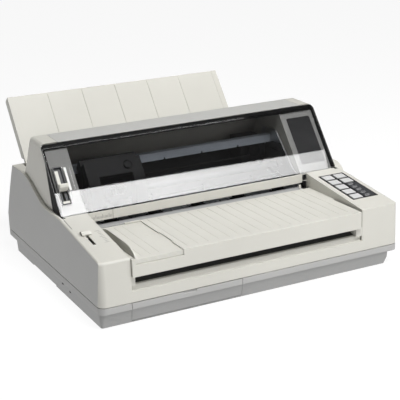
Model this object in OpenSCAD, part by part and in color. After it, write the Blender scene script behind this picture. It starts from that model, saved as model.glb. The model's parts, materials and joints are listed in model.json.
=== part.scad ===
// Flatbed dot matrix printer: lower case, upper case, hinged access cover, flat paper table,
// leaning paper support, print carriage, platen and paper feed train.
// X runs to the right, Y to the back, Z up. The origin is on the ground, below the middle of the case.

/* [Case] */
// Outside width of the case at the parting line
case_w = 470; // [465:1:480]
// Outside depth of the case at the parting line
case_d = 398; // [394:1:404]
// Height of the parting line above the ground
base_h = 30.6; // [29.5:0.1:32]
// Wall thickness of the mouldings
wall = 3; // [2.6:0.1:3.2]
// Radius of the upright corners
corner_r = 11; // [8:1:14]
// Lean of the side walls, in degrees
side_draft = 2.6; // [2:0.1:3]
// Height of the decks at the front edge
deck_front_h = 93.1; // [92:0.1:95]
// Height of the decks at the hood
deck_back_h = 112.8; // [112:0.1:114]
// Length of the decks, from the front edge to the hood
deck_l = 151; // [149:1:153]
// Height of the case behind the hood
rear_h = 142; // [140:1:144]
// Lean of the rear wall over its whole height
rear_lean = 39; // [36:1:42]

/* [Lower case] */
// Height of the rubber feet
foot_h = 2.5; // [2:0.1:3.5]
// Radius of a foot
foot_r = 10; // [8:0.5:12]
// Distance between the left and right feet
foot_span_x = 364; // [350:1:370]
// Distance between the front and rear feet
foot_span_y = 310; // [300:1:320]
// Thickness of the floor
floor_t = 3; // [2.5:0.1:3.5]
// Height of the band below the parting line
band_h = 9.6; // [8:0.1:11]
// How far the tub stands in from the band at the sides
tub_in = 13; // [11:1:15]
// How far the tub leans in at the sides
tub_lean = 10; // [6:1:12]
// Length of the tub's left side, which stands out to the band
tub_side_l = 357; // [340:1:365]
// How far that side leans in
tub_side_lean = 2; // [1:0.5:4]
// Width of the front flap
flap_w = 164; // [150:1:170]
// Thickness of the front flap
flap_t = 2.4; // [2:0.1:3]

/* [Table] */
// Width of the left deck
left_deck_w = 46; // [44:1:48]
// Width of the right deck
right_deck_w = 64; // [62:1:66]
// Height of the table's top
table_h = 91.5; // [90:0.1:92.5]
// Thickness of the table's skin
table_t = 1.5; // [1.3:0.1:1.8]
// How far the table stands proud of the case front
table_proud = 3.7; // [3:0.1:4.5]
// Height of the table's front
fascia_h = 24.9; // [24:0.1:26]
// Distance between the table's back edge and the hood
table_back_gap = 10; // [8:0.5:12]
// Height of the paper slot below the table
slot_h = 6.8; // [6:0.1:7.5]
// Height of the lip below the slot
lip_h = 13.8; // [13:0.1:15]
// Width of the ledge that the table rests on
ledge_w = 5; // [4:0.5:6]
// Height of the strips' lower edge above the table
strip_gap = 6.5; // [6:0.1:7]
// Width of the short strip with the scale
scale_strip_w = 38; // [35:1:40]
// Distance between the ribs' grooves
rib_pitch = 16; // [14:1:20]
// Width of a groove
groove_w = 0.7; // [0.5:0.1:1]

/* [Paper guide] */
// Width of the guide's plate
guide_w = 68.5; // [66:0.5:70]
// Height of the guide's fence above the table
fence_h = 12.8; // [10:0.1:14]
// Height of the guide's front flange
guide_flange_h = 6.3; // [5:0.1:8]
// Travel of the guide to the right
guide_travel = 35; // [30:1:38]

/* [Hood] */
// Width of the hood
hood_w = 452; // [450:1:455]
// Height of the hood's front top edge
hood_h = 203; // [200:1:205]
// Rise of the hood's top from front to back
hood_rise = 1.4; // [1:0.1:2]
// Horizontal run of the sloping window
window_run = 67.1; // [65:0.1:69]
// Depth of the hood's top
hood_top_l = 53.4; // [52:0.1:56]
// Radius of the hood's rear top edge, which is also the cover's hinge barrel
hinge_r = 10; // [9:0.5:11]
// Lean of the hood's rear wall from the vertical, in degrees
hood_rear_lean = 33; // [32:0.5:34]
// Width of the left tower
left_tower_w = 38; // [37:0.5:40]
// Width of the right tower
right_tower_w = 61; // [58:1:63]
// Depth of the towers' sloping faces behind the window
tower_set = 5.5; // [5:0.1:6]
// Distance from the hood's left side to the cover's left joint
cover_joint_l = 26; // [25:0.5:28]
// Distance from the hood's right side to the cover's right joint
cover_joint_r = 22; // [20:1:24]
// Angle of the window frame's sides above the horizontal
frame_side_angle = 75; // [74:0.5:76]

/* [Cover] */
// Thickness of the window
pane_t = 2.5; // [2:0.1:3]
// Width of the window frame's bar along the top
frame_bar = 6; // [5:0.5:7]
// Thickness of the window frame's sides
frame_t = 3.5; // [3:0.1:4]
// Clearance round the cover
cover_gap = 0.4; // [0.3:0.05:0.5]
// Radius of the hinge pins
hinge_pin_r = 2.5; // [2:0.1:3]
// Clearance of pins in their holes
pin_gap = 0.05; // [0.03:0.01:0.08]

/* [Paper support] */
// Width of the support
support_w = 368; // [360:1:372]
// Length of the support above the case
support_l = 116; // [110:1:120]
// Thickness of the support at its hinge
support_t = 6; // [5:0.5:7]
// Thickness of its sheet
support_skin = 2.5; // [2:0.1:3]
// Depth of its folded side edges
support_edge_d = 15; // [12:0.5:16]
// Lean of the support, in degrees
support_lean = 37.5; // [36:0.5:39]
// Distance between its grooves
support_pitch = 57.6; // [55:0.1:60]

/* [Control panel] */
// Width of the panel
panel_w = 44; // [42:0.5:46]
// Length of the panel
panel_l = 94.8; // [92:0.1:97]
// Distance from the panel to the case's right side
panel_in = 11; // [10:0.5:12]
// Width of the panel's frame and of its bars
panel_bar = 1.8; // [1.5:0.1:2.2]
// Clearance round a key
key_gap = 0.35; // [0.3:0.05:0.5]
// Travel of a key
key_travel = 0.8; // [0.5:0.1:1]

/* [Platen and feed] */
// Depth of the platen's axis below the table's top
platen_drop = 10.5; // [10:0.1:11]
// Radius of the platen
platen_r = 14; // [13.5:0.1:14.2]
// Radius of the platen's shaft
shaft_r = 5; // [4:0.1:6]
// Radius of the platen knob
knob_r = 30; // [26:1:31]
// Thickness of the platen knob
knob_t = 18; // [15:1:22]
// Tooth size of the gears, as pitch diameter over number of teeth
gear_module = 1; // [1:0.1:1]
// Face width of the gears
gear_w = 7; // [6:0.5:8]
// Radius of the feed rollers
feed_r = 9.6; // [9.4:0.1:9.7]
// Radius of the pinch rollers
pinch_r = 6; // [5.5:0.1:6.2]

/* [Carriage] */
// Width of the carriage
carriage_w = 88; // [84:1:92]
// Distance from the left frame to the parked carriage
park = 16; // [12:1:18]
// Depth of the carriage's rail below the hood's front top edge
rail_drop = 57; // [56:0.5:58]
// Radius of the guide shaft
guide_r = 5; // [4.5:0.1:5.5]
// Radius of the belt pulleys
pulley_r = 8; // [7.5:0.1:8.5]
// Thickness of the belt
belt_t = 1.2; // [1:0.1:1.5]
// Width of the belt
belt_w = 6; // [5:0.5:7]

/* [Electrics] */
// Height of the main board above the floor
board_rise = 6; // [5:0.5:8]
// Width of the transformer
transformer_w = 80; // [75:1:85]
// Depth of the transformer's foot
transformer_d = 56; // [50:1:60]
// Height of the transformer
transformer_h = 50; // [45:1:55]

/* [Hidden] */
$fn = 48;
e = 0.01;                                   // overshoot of cuts

// Case
xl = -case_w/2;
xr = case_w/2;
yf = -case_d/2;
yb = case_d/2;
step_z = base_h - band_h;
floor_z = foot_h + floor_t;
hood_y = yf + deck_l;                       // where decks end and the hood begins
deck_angle = atan((deck_back_h - deck_front_h)/deck_l);
tub_front_in = 1.5;
tub_back_in = 6;
tub_end_lean = 3;
tub_x = case_w/2 - tub_in - tub_lean;       // the tub's half width at its bottom
tub_y0 = yf + tub_front_in + tub_end_lean;
tub_y1 = yb - tub_back_in - tub_end_lean;
tub_side_y1 = yf + tub_side_l;              // where the tub's left side ends
side_curve = [53, 158];                     // where the side's top edge rises, behind hood_y
rear_y = yb - rear_lean;

// Table and slot
table_x0 = xl + left_deck_w + 0.8;
table_x1 = xr - right_deck_w - 3.5;
table_y0 = yf - table_proud;
table_y1 = hood_y - table_back_gap;
fascia_z = table_h - fascia_h;
slot_z = fascia_z - slot_h;
lip_z = slot_z - lip_h;
slot_x0 = xl + left_deck_w + ledge_w + 0.6;
slot_x1 = table_x1 - ledge_w - 1.5;

// Paper guide, which slides below the table's skin
guide_gap = 0.2;
guide_t = 1.4;
guide_z = table_h - table_t - guide_gap;    // the guide plate's top
guide_x0 = table_x0 + 5.2;
guide_x1 = guide_x0 + guide_w;
guide_hidden = 8;                           // how far it reaches below the skin

// Hood
hood_x = hood_w/2;
window_angle = atan((hood_h - deck_back_h)/window_run);
frame_foot = 37.6;                          // depth of the window frame's sides at the decks
window_l = norm([window_run, hood_h - deck_back_h]);
bay_x0 = -hood_x + left_tower_w;            // the print bay between the towers
bay_x1 = hood_x - right_tower_w;
top_y0 = hood_y + window_run;
hinge_y = top_y0 + hood_top_l - 5.4;
hinge_z = hood_h + hood_rise - hinge_r;
cover_x0 = -hood_x + cover_joint_l;
cover_x1 = hood_x - cover_joint_r;
skin = 3;                                   // thickness of the cover's top
cover_open_gap = 0.4;

// Mechanism
frame_t2 = 2;                               // sheet thickness of the side frames
frame_x0 = bay_x0 + 2;
frame_x1 = bay_x1 - 2;
run = 0.3;                                  // running gap of sliding parts
platen_y = hood_y + 45;
platen_h = table_h - platen_drop;
feed_y = platen_y - 33;
nip = platen_h + platen_r;                  // height of the paper over the platen
pinch_y = feed_y;
feed_z = platen_h;
pinch_z = feed_z + feed_r + pinch_r + 1.2;
guide_y = platen_y + 29;
guide_sz = nip + 17;
rail_y = platen_y + 43;
rail_z = hood_h - rail_drop;
belt_y = platen_y + 55;
belt_z = rail_z - 12;
carriage_x0 = frame_x0 + frame_t2 + park;
pulley_x0 = frame_x0 + frame_t2 + 12;
pulley_x1 = frame_x1 - frame_t2 - 26;

// Gear train: teeth and axes, seen along X as [y, z]
platen_n = 32;
idler_n = 16;
feed_n = 22;
reduction_n = 20;
pinion_n = 12;
function pitch_r(n) = gear_module*n/2;
platen_c = [platen_y, platen_h];
feed_c = [feed_y, feed_z];
idler_a = pitch_r(platen_n) + pitch_r(idler_n);
idler_b = pitch_r(feed_n) + pitch_r(idler_n);
axis_d = platen_y - feed_y;
idler_dy = (idler_a*idler_a - idler_b*idler_b + axis_d*axis_d)/(2*axis_d);
idler_c = [platen_y - idler_dy, platen_h - sqrt(idler_a*idler_a - idler_dy*idler_dy)];
train_angle = -45;
reduction_c = platen_c + (pitch_r(platen_n) + pitch_r(reduction_n))*[cos(train_angle), sin(train_angle)];
pinion_c = reduction_c + (pitch_r(reduction_n) + pitch_r(pinion_n))*[cos(train_angle), sin(train_angle)];
gear_x = frame_x1 + 3;
// Turn of gear b so that its gap faces gear a's tooth, along the direction t from a to b
function mesh_turn(t, turn_a, n_a, n_b) = t + 180 - (0.5 - (t - turn_a)*n_a/360)*360/n_b;
function direction(a, b) = atan2(b[1] - a[1], b[0] - a[0]);
platen_turn = 0;
idler_turn = mesh_turn(direction(platen_c, idler_c), platen_turn, platen_n, idler_n);
feed_turn = mesh_turn(direction(idler_c, feed_c), idler_turn, idler_n, feed_n);
reduction_turn = mesh_turn(direction(platen_c, reduction_c), platen_turn, platen_n, reduction_n);
pinion_turn = mesh_turn(direction(reduction_c, pinion_c), reduction_turn, reduction_n, pinion_n);

tower_z = platen_h + pitch_r(platen_n) + 3.8;  // where the towers start, over the platen's gear
port_x0 = 20;
port_x1 = 190;

// Front flap
flap_x0 = table_x0 - 1.8;
flap_x1 = flap_x0 + flap_w;
flap_z0 = foot_h + 1.6;
flap_hinge = [tub_y0 + 1.6, flap_z0 + 3.4];
flap_gap = 0.4;
flap_pin_r = 1.2;

// Control panel
panel_x0 = xr - panel_in - panel_w;
panel_y = hood_y - 21.5 - panel_l*cos(deck_angle);
cell_w = (panel_w - 3*panel_bar)/2;
cell_l = (panel_l - 6*panel_bar)/5;
key_t = 2.6;
key_proud = 0.5;
bezel_t = 1.2;
panel_board_d = 9;                          // depth of the board's top below the deck
stem_r = 2.5;
switch_h = 2.5;

// Levers
select_x = -hood_x + 10.5;
select_y = hood_y - 63;
select_travel = 25;
// The window's cut-out over the head gap lever: x, and s up the slope
gap_x = [-hood_x + 6.8, -hood_x + 20.6];
gap_s = [17.5, 76];
gap_lever_s = 43;
bezel_gap = 0.35;

// Paper support
support_x0 = -hood_x + 14;
support_x1 = support_x0 + support_w;
support_c = [rear_y - 22, rear_h - 11];     // its hinge, as [y, z]
support_drop = 14;                          // from the case's top down to the hinge, along the support
support_stop_y = support_c[0] + (support_t/2)/cos(support_lean) + (rear_h - support_c[1])*tan(support_lean) + 0.1;

// Shafts and rollers
feed_shaft_r = 4;
pinch_shaft_r = 2;
bail_rod_r = 2;
gear_stud_r = 3;
feed_roll_l = 24;
feed_count = 5;
feed_x = [for (i = [0:feed_count - 1]) frame_x0 + 24 + i*(frame_x1 - frame_x0 - 48 - feed_roll_l)/(feed_count - 1)];
knob_gap = 3.5;
bail_c = [platen_y + 20, nip + 3.6];
bail_pivot = [platen_y + 44, nip + 6];
bail_roll_r = 5;

// Side frames
frame_outline = [
    [hood_y + 5.5, floor_z], [hood_y + 5.5, table_h + 16], [hood_y + 22, table_h + 24],
        [hood_y + 72, table_h + 76],
    [hood_y + 112, table_h + 76], [hood_y + 134, table_h + 30], [hood_y + 134, floor_z]];
frame_holes = [
    [platen_c[0], platen_c[1], shaft_r + pin_gap], [feed_c[0], feed_c[1], feed_shaft_r + pin_gap],
    [pinch_y, pinch_z, pinch_shaft_r + pin_gap], [bail_pivot[0], bail_pivot[1], bail_rod_r + pin_gap]];

// Electrics
board_z = floor_z + board_rise;
board_x = [-20, 185];
board_y = [90, 176];
board_posts_x = [board_x[0] + 6, board_x[1] - 6];
board_posts_y = [board_y[0] + 6, board_y[1] - 6];
plate_y = tub_y1 - wall - 8;
transformer_c = [-130, plate_y - 55];
inlet_x = [140, 168];
inlet_z = [base_h + 9, base_h + 29];
socket_x = [40, 98];
socket_z = [base_h + 12, base_h + 26];
rocker_x = [112, 126];
rocker_z = [base_h + 9, base_h + 29];
rocker_c = [plate_y - 2, (rocker_z[0] + rocker_z[1])/2];

// Colours
cream = [0.86, 0.85, 0.80];
cream_low = [0.66, 0.66, 0.63];
black = [0.08, 0.08, 0.09];
dark = [0.2, 0.2, 0.21];
steel = [0.62, 0.64, 0.66];
rubber = [0.12, 0.12, 0.12];
nylon = [0.9, 0.89, 0.84];

// ---------- Helpers ----------

// Extrudes an outline drawn in Y and Z along X
module along_x(x0, x1) {
    translate([x0, 0, 0]) rotate([90, 0, 90]) linear_extrude(x1 - x0) children();
}

// Extrudes an outline drawn in X and Z along Y
module along_y(y0, y1) {
    translate([0, y1, 0]) rotate([90, 0, 0]) linear_extrude(y1 - y0) children();
}

module block(x, y, z) {
    translate([x[0], y[0], z[0]]) cube([x[1] - x[0], y[1] - y[0], z[1] - z[0]]);
}

module rounded(x, y, r) {
    translate([x[0] + r, y[0]]) square([x[1] - x[0] - 2*r, y[1] - y[0]]);
    translate([x[0], y[0] + r]) square([x[1] - x[0], y[1] - y[0] - 2*r]);
    for (cx = [x[0] + r, x[1] - r], cy = [y[0] + r, y[1] - r]) translate([cx, cy]) circle(r);
}

// A round bar or tube along X
module bar_x(x, c, r) {
    along_x(x[0], x[1]) translate(c) circle(r);
}

module tube_x(x, c, r, bore) {
    along_x(x[0], x[1]) translate(c) difference() { circle(r); circle(bore); }
}

// The span of half width h about c
function about(c, h) = [c - h, c + h];
function smooth(t) = t*t*(3 - 2*t);
function deck_z(y) = deck_front_h + (y - yf)*tan(deck_angle);

// Places its children on the deck: X right, Y up the slope, Z out of it
module on_deck(x, y) {
    translate([x, y, deck_z(y)]) rotate([deck_angle, 0, 0]) children();
}

// A point on the window's plane, s up the slope and depth d behind it, as [y, z]
function window_at(s, d) =
    [hood_y + s*cos(window_angle) + d*sin(window_angle),
        deck_back_h + s*sin(window_angle) - d*cos(window_angle)];

// The point of the window frame's rear edge that lies d behind the window's plane, as [y, z]
function frame_side_at(d) =
    let (z = (frame_foot - d/sin(window_angle))/(1/tan(window_angle) - 1/tan(frame_side_angle)))
    [hood_y + frame_foot + z/tan(frame_side_angle), deck_back_h + z];

// Places its children on the window's plane: X right, Y up the slope, Z out of it
module on_window(x, s) {
    translate([x, window_at(s, 0)[0], window_at(s, 0)[1]]) rotate([window_angle, 0, 0]) children();
}

// ---------- Case ----------

// The case's side outline, t inside the outer surface
function case_side(t) = concat(
    [[yf + t, base_h - 2*t], [yf + t, deck_front_h - t], [hood_y, deck_back_h - t]],
    [for (i = [0:12]) let (y = hood_y + side_curve[0] + i/12*(side_curve[1] - side_curve[0]))
        [y, deck_back_h + 0.2 - t + (rear_h - deck_back_h)*smooth(i/12)]],
    [for (i = [0:6]) let (f = 1 - i/6)
        [yb - t - rear_lean*pow(f, 1.4), base_h + (rear_h - base_h)*f - (i == 0 ? t : 0)]],
    [[yb - t, base_h - 2*t]]);

// The case's front outline, t inside the outer surface
function case_front(t) = let (w = case_w/2 - t, lean = (hood_h - base_h)*tan(side_draft))
    [[-w, base_h - 2*t], [-w, base_h], [lean - w, hood_h], [w - lean, hood_h], [w, base_h],
        [w, base_h - 2*t]];

module case_block(t) {
    intersection() {
        along_x(xl, xr) polygon(case_side(t));
        along_y(yf, yb) polygon(case_front(t));
        translate([0, 0, base_h - 2*t - 1]) linear_extrude(hood_h)
            rounded([xl + t, xr - t], [yf + t, yb - t], corner_r - t);
    }
}

// The hood's rear wall, t inside its outer surface, from angle 90 - lean down to height z
function hood_rear(t, z) = let (a = hood_rear_lean, r = hinge_r - t)
    [[hinge_y + r*cos(a), hinge_z + r*sin(a)],
     [hinge_y + r*cos(a) + (hinge_z + r*sin(a) - z)*tan(a), z]];

// The hood's side outline, t inside, with its front d behind the window
function hood_side(t, d, z) = concat(
    [[window_at(0, d)[0] - (window_at(0, d)[1] - z)/tan(window_angle), z]],
    [window_at(window_l - t, d), [window_at(window_l, 0)[0] + d/2, hood_h - t]],
    [for (i = [0:6]) let (a = 90 - i*(90 - hood_rear_lean)/6)
        [hinge_y + (hinge_r - t)*cos(a), hinge_z + (hinge_r - t)*sin(a)]],
    [hood_rear(t, rear_h - 4)[1], [hood_y + 145 - t, z]]);

// Both towers and the wall behind the print bay
module hood() {
    difference() {
        along_x(-hood_x, hood_x) polygon(hood_side(0, tower_set, tower_z));
        for (x = [[-hood_x + frame_t + 3.5, bay_x0 - wall], [bay_x1 + wall, hood_x - frame_t - 3.5]])
            along_x(x[0], x[1]) intersection() {
                polygon(hood_side(wall, tower_set + wall, tower_z - 1));
                translate([hood_y, 0]) square([case_d, hood_h - 6.5]);
            }
        along_x(bay_x0, bay_x1) polygon([
            [hood_y - 30, tower_z - 1], [hood_y - 30, hood_h + 9], [hinge_y, hood_h + 9],
            hood_rear(wall, rear_h - 4)[0], hood_rear(wall, rear_h - 4)[1],
            [hinge_y + 60, rear_h - 4], [hinge_y + 60, tower_z - 1]]);
    }
}

// Room for the window frame's side, in front of a steeper line
module frame_side_room(x0, x1) {
    foot = hood_y + frame_foot;
    along_x(x0, x1) polygon([
        [hood_y - 5, tower_z - 1],
        [foot - (deck_back_h - tower_z + 1)/tan(frame_side_angle) + cover_gap, tower_z - 1],
        [foot + (hood_h + 5 - deck_back_h)/tan(frame_side_angle) + cover_gap, hood_h + 5],
        [hood_y - 5, hood_h + 5]]);
}

module upper_case() {
    color(cream) difference() {
        union() {
            difference() {
                case_block(0);
                case_block(wall);
                // print bay, open to the front below the hood
                block([bay_x0, bay_x1], [hood_y - e, hinge_y + 44], [fascia_z, hood_h]);
                // flat table
                block([xl + left_deck_w, xr - right_deck_w], [yf - 1, hood_y], [fascia_z, hood_h]);
                // front, down to the lip
                block([xl + left_deck_w, xr - right_deck_w], [yf - 1, yf + 12], [lip_z, hood_h]);
                // window and its frame
                window_room();
                // rear slot for the paper and its support
                block([support_x0 - 2.5, support_x1 + 2.5], [hinge_y + 51.5, support_stop_y],
                    [rear_h - 20, hood_h]);
            }
            hood();
            deck_wall(xl + left_deck_w - wall);
            deck_wall(xr - right_deck_w);
            table_ledges();
            front_lip();
            for (x = [cover_x0 - 9 - cover_gap, cover_x1 + cover_gap]) hinge_boss(x);
            for (x = [support_x0 - 9 - 0.5, support_x1 + 0.5]) support_boss(x);
            panel_posts();
        }
        window_room();
        for (x = [-hood_x - 1, hood_x - frame_t - cover_gap]) frame_side_room(x, x + frame_t + cover_gap + 1);
        cover_room();
        // hinge holes of the cover and of the support
        bar_x([cover_x0 - 8, cover_x1 + 8], [hinge_y, hinge_z], hinge_pin_r + pin_gap);
        bar_x([support_x0 - 8, support_x1 + 8], support_c, hinge_pin_r + pin_gap);
        // platen shaft
        bar_x([xr - right_deck_w + wall, xr + 1], platen_c, shaft_r + 2);
        // shadow line at the parting line
        difference() {
            block([xl - 1, xr + 1], [yf - 1, yb + 1], [base_h - e, base_h + 0.8]);
            translate([0, 0, base_h - 1]) linear_extrude(3)
                rounded([xl + 1.2, xr - 1.2], [yf + 1.2, yb - 1.2], corner_r - 1.2);
        }
        // control panel
        on_deck(panel_x0, panel_y) translate([0, 0, -1]) cube([panel_w, panel_l, 10]);
        on_deck(panel_x0 + 1, panel_y) translate([0, 1, -30]) cube([panel_w - 2, panel_l - 2, 40]);
        // selector slot and grooves on the left deck
        on_deck(select_x - 2, select_y - 33) translate([0, 0, -10]) cube([4, 37.5, 20]);
        on_deck(select_x - 11, hood_y - 40) translate([0, 0, -0.6]) cube([groove_w, 32, 2]);
        // slot for the head gap lever
        on_window(0, 0) block([gap_x[0] + 4.6, gap_x[0] + 8], [gap_s[0] + 5.8, gap_s[1] - 5.8], [-14, -4]);
        // opening over the rear sockets
        block([port_x0 + 10, port_x1 - 10], [yb - 30, yb + 1], [base_h + 4, base_h + 34]);
    }
}

// The slab that the window needs in front of the towers
module window_room() {
    y0 = window_at(0, tower_set);
    along_x(-hood_x - cover_gap, hood_x + cover_gap) intersection() {
        polygon([y0 + [0, 0], window_at(window_l, tower_set), window_at(window_l, -40), window_at(-10, -40),
                 window_at(-1, 0)]);
        translate([hood_y - 0.6, deck_back_h - 3.5]) square([200, 200]);
    }
}

// Room for the cover's top between its joints, and for its barrel
module cover_room() {
    x0 = cover_x0 - cover_gap;
    x1 = cover_x1 + cover_gap;
    block([x0, x1], [top_y0 - 10, hinge_y], [hood_h - 6.6, hood_h + 5]);
    difference() {
        bar_x([x0, x1], [hinge_y, hinge_z], hinge_r + cover_open_gap);
        block([cover_x0 - 20, cover_x1 + 20], [top_y0, hinge_y + 30], [0, hinge_z - hinge_r - 8]);
    }
}

module hinge_boss(x) {
    block([x, x + 9], [hinge_y - 6, hinge_y + 5], [hinge_z - 7, hinge_z + 6]);
}

// The decks' inner walls, down to the ledges
module deck_wall(x) {
    intersection() {
        block([x, x + wall], [yf, hood_y - 1], [slot_z - 6, hood_h]);
        case_block(0.1);
    }
}

module table_ledges() {
    for (x = [[xl + left_deck_w - e, slot_x0], [slot_x1, xr - right_deck_w + e]])
        block(x, [yf + 0.5, table_y1 - 4], [slot_z - 6, fascia_z]);
}

module front_lip() {
    along_x(xl + left_deck_w - e, xr - right_deck_w + e) polygon([
        [yf, lip_z - 1], [yf, lip_z], [yf + 0.4, lip_z + 0.5], [yf + 3, lip_z + 0.8], [yf + 4, lip_z + 1.8],
        [yf + 4.4, lip_z + 7], [yf + 5.2, lip_z + 8.6], [yf + 7, lip_z + 9.4], [yf + 20, slot_z],
        [yf + 20, slot_z - 2], [yf + 8.5, lip_z + 7], [yf + 7, lip_z + 6], [yf + 6.6, lip_z - 1]]);
    block([xl + left_deck_w - wall, xr - right_deck_w + wall], [yf + wall - e, yf + 7],
        [lip_z - 3, lip_z - 0.5]);
}

module support_boss(x) {
    block([x, x + 9], [support_c[0] - 8, support_c[0] + 7], [support_c[1] - 7, rear_h - wall + 0.5]);
}

module panel_posts() {
    for (x = [panel_x0 - 4, panel_x0 + panel_w + 0.5], dy = [6, panel_l - 12])
        on_deck(x, panel_y + dy) translate([0, 0, 0.002 - panel_board_d]) cube([3.5, 6,
            panel_board_d - wall + 0.4]);
}

module tub_block(t) {
    intersection() {
        along_y(yf, yb) polygon([[-tub_x, foot_h], [tub_x, foot_h], [tub_x + tub_lean, step_z + t],
                                 [-tub_x - tub_lean, step_z + t]]);
        along_x(xl, xr) polygon([[tub_y0, foot_h], [tub_y1, foot_h], [tub_y1 + tub_end_lean, step_z + t],
                                 [tub_y0 - tub_end_lean, step_z + t]]);
        linear_extrude(base_h) rounded([-tub_x - tub_lean, tub_x + tub_lean],
            [tub_y0 - tub_end_lean, tub_y1 + tub_end_lean], corner_r);
    }
}

// The tub's left side and the corner in front of it
module tub_side() {
    x1 = -tub_x + 2*corner_r;
    intersection() {
        along_y(yf, yb) polygon([[xl + tub_side_lean, foot_h], [x1, foot_h], [x1, step_z + 1],
            [xl, step_z + 1]]);
        along_x(xl, xr) polygon([[tub_y0, foot_h], [tub_side_y1, foot_h],
            [tub_side_y1 - tub_end_lean, step_z + 1],
                                 [tub_y0 - tub_end_lean, step_z + 1]]);
        linear_extrude(base_h) rounded([xl, 0], [tub_y0 - tub_end_lean, tub_y1], corner_r);
    }
}

module band_block() {
    bevel = 3;
    rear_bevel = 8;
    intersection() {
        along_y(yf, yb) polygon([[xl, base_h], [xl, step_z], [xr - bevel, step_z], [xr, step_z + bevel],
                                 [xr, base_h]]);
        along_x(xl, xr) polygon([[yf, base_h], [yf, step_z + bevel/3], [yf + bevel/3, step_z],
                                 [yb - rear_bevel, step_z], [yb, step_z + rear_bevel], [yb, base_h]]);
        linear_extrude(base_h) rounded([xl, xr], [yf, yb], corner_r);
    }
}

module lower_case() {
    color(cream_low) {
        difference() {
            union() {
                band_block();
                tub_block(1);
                tub_side();
            }
            translate([0, 0, step_z + wall]) linear_extrude(base_h)
                rounded([xl + wall, xr - wall], [yf + wall, yb - wall], corner_r - wall);
            block([-tub_x + wall, tub_x - wall], [tub_y0 + wall, tub_y1 - wall], [floor_z, base_h + 1]);
            block([xl + tub_side_lean + wall, 0], [tub_y0 + wall, tub_side_y1 - tub_end_lean - wall],
                [floor_z, base_h + 1]);
            // front flap and its hinge
            block([flap_x0 - flap_gap, flap_x1 + flap_gap], [yf - 1, tub_y0 + wall + 2],
                [flap_z0 - flap_gap, base_h + 1]);
            bar_x([flap_x0 - 3, flap_x1 + 3], flap_hinge, flap_pin_r + pin_gap);
            // hand grips below the sides
            for (x = [[xl - 1, xl + 14], [tub_x - 4, xr]]) block(x, [-19, 83], [foot_h - 1, foot_h + 1.8]);
            // slots on the left side
            for (c = [[-58, foot_h + 15.4], [-86, foot_h + 12]])
                block([xl - 1, xl + tub_side_lean + 0.8], [c[0], c[0] + 7], [c[1], c[1] + 2.4]);
        }
        // bay behind the flap
        difference() {
            block([flap_x0 - 3, flap_x1 + 3], [tub_y0 + wall - e, tub_y0 + 30], [floor_z - e, base_h - 1]);
            block([flap_x0 - flap_gap, flap_x1 + flap_gap], [tub_y0, tub_y0 + 27.5],
                [floor_z - 1, base_h + 1]);
        }
        // hinge ears of the flap
        for (x = [flap_x0 - 3, flap_x1 + flap_gap]) difference() {
            block([x, x + 2.6], [tub_y0 + wall - e, tub_y0 + wall + 2.5], [floor_z - e, floor_z + 6]);
            bar_x([x - 1, x + 4], flap_hinge, flap_pin_r + pin_gap);
        }
        // posts of the main board
        for (x = board_posts_x, y = board_posts_y) translate([x, y,
            floor_z - e]) cylinder(h = board_z - floor_z + e, r = 3.5);
    }
}

// The flap's side outline: it follows the band and the tub, and turns on its lower edge
module front_flap() {
    x0 = flap_x0;
    x1 = flap_x1;
    color(cream_low) {
        difference() {
            along_x(x0, x1) polygon([
                [yf, base_h - 0.4], [yf, step_z + 1], [yf + 1, step_z], [yf + tub_front_in, step_z - 0.2],
                [tub_y0 - 0.4, flap_z0 + 0.6], [tub_y0 + 0.6, flap_z0], [tub_y0 + 2.2, flap_z0],
                [tub_y0 + 3.4, flap_z0 + 3.4],
                [yf + tub_front_in + flap_t, step_z + 2], [yf + flap_t, step_z + 3],
                    [yf + flap_t, base_h - 0.4]]);
            // thumb notch
            block([x0 + flap_w*0.46, x0 + flap_w*0.575], [yf - 1, yf + 1.4], [base_h - 3, base_h + 1]);
        }
        bar_x([x0 - 2.4, x1 + 2.4], flap_hinge, flap_pin_r);
    }
}

module rubber_feet() {
    color(rubber) for (x = [-foot_span_x/2, foot_span_x/2],
        y = [-foot_span_y/2, foot_span_y/2]) translate([x, y, 0])
        rotate_extrude() polygon([[0, 0], [foot_r - 0.4, 0], [foot_r, 0.4], [foot_r, foot_h], [0, foot_h]]);
}

// ---------- Table ----------

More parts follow.
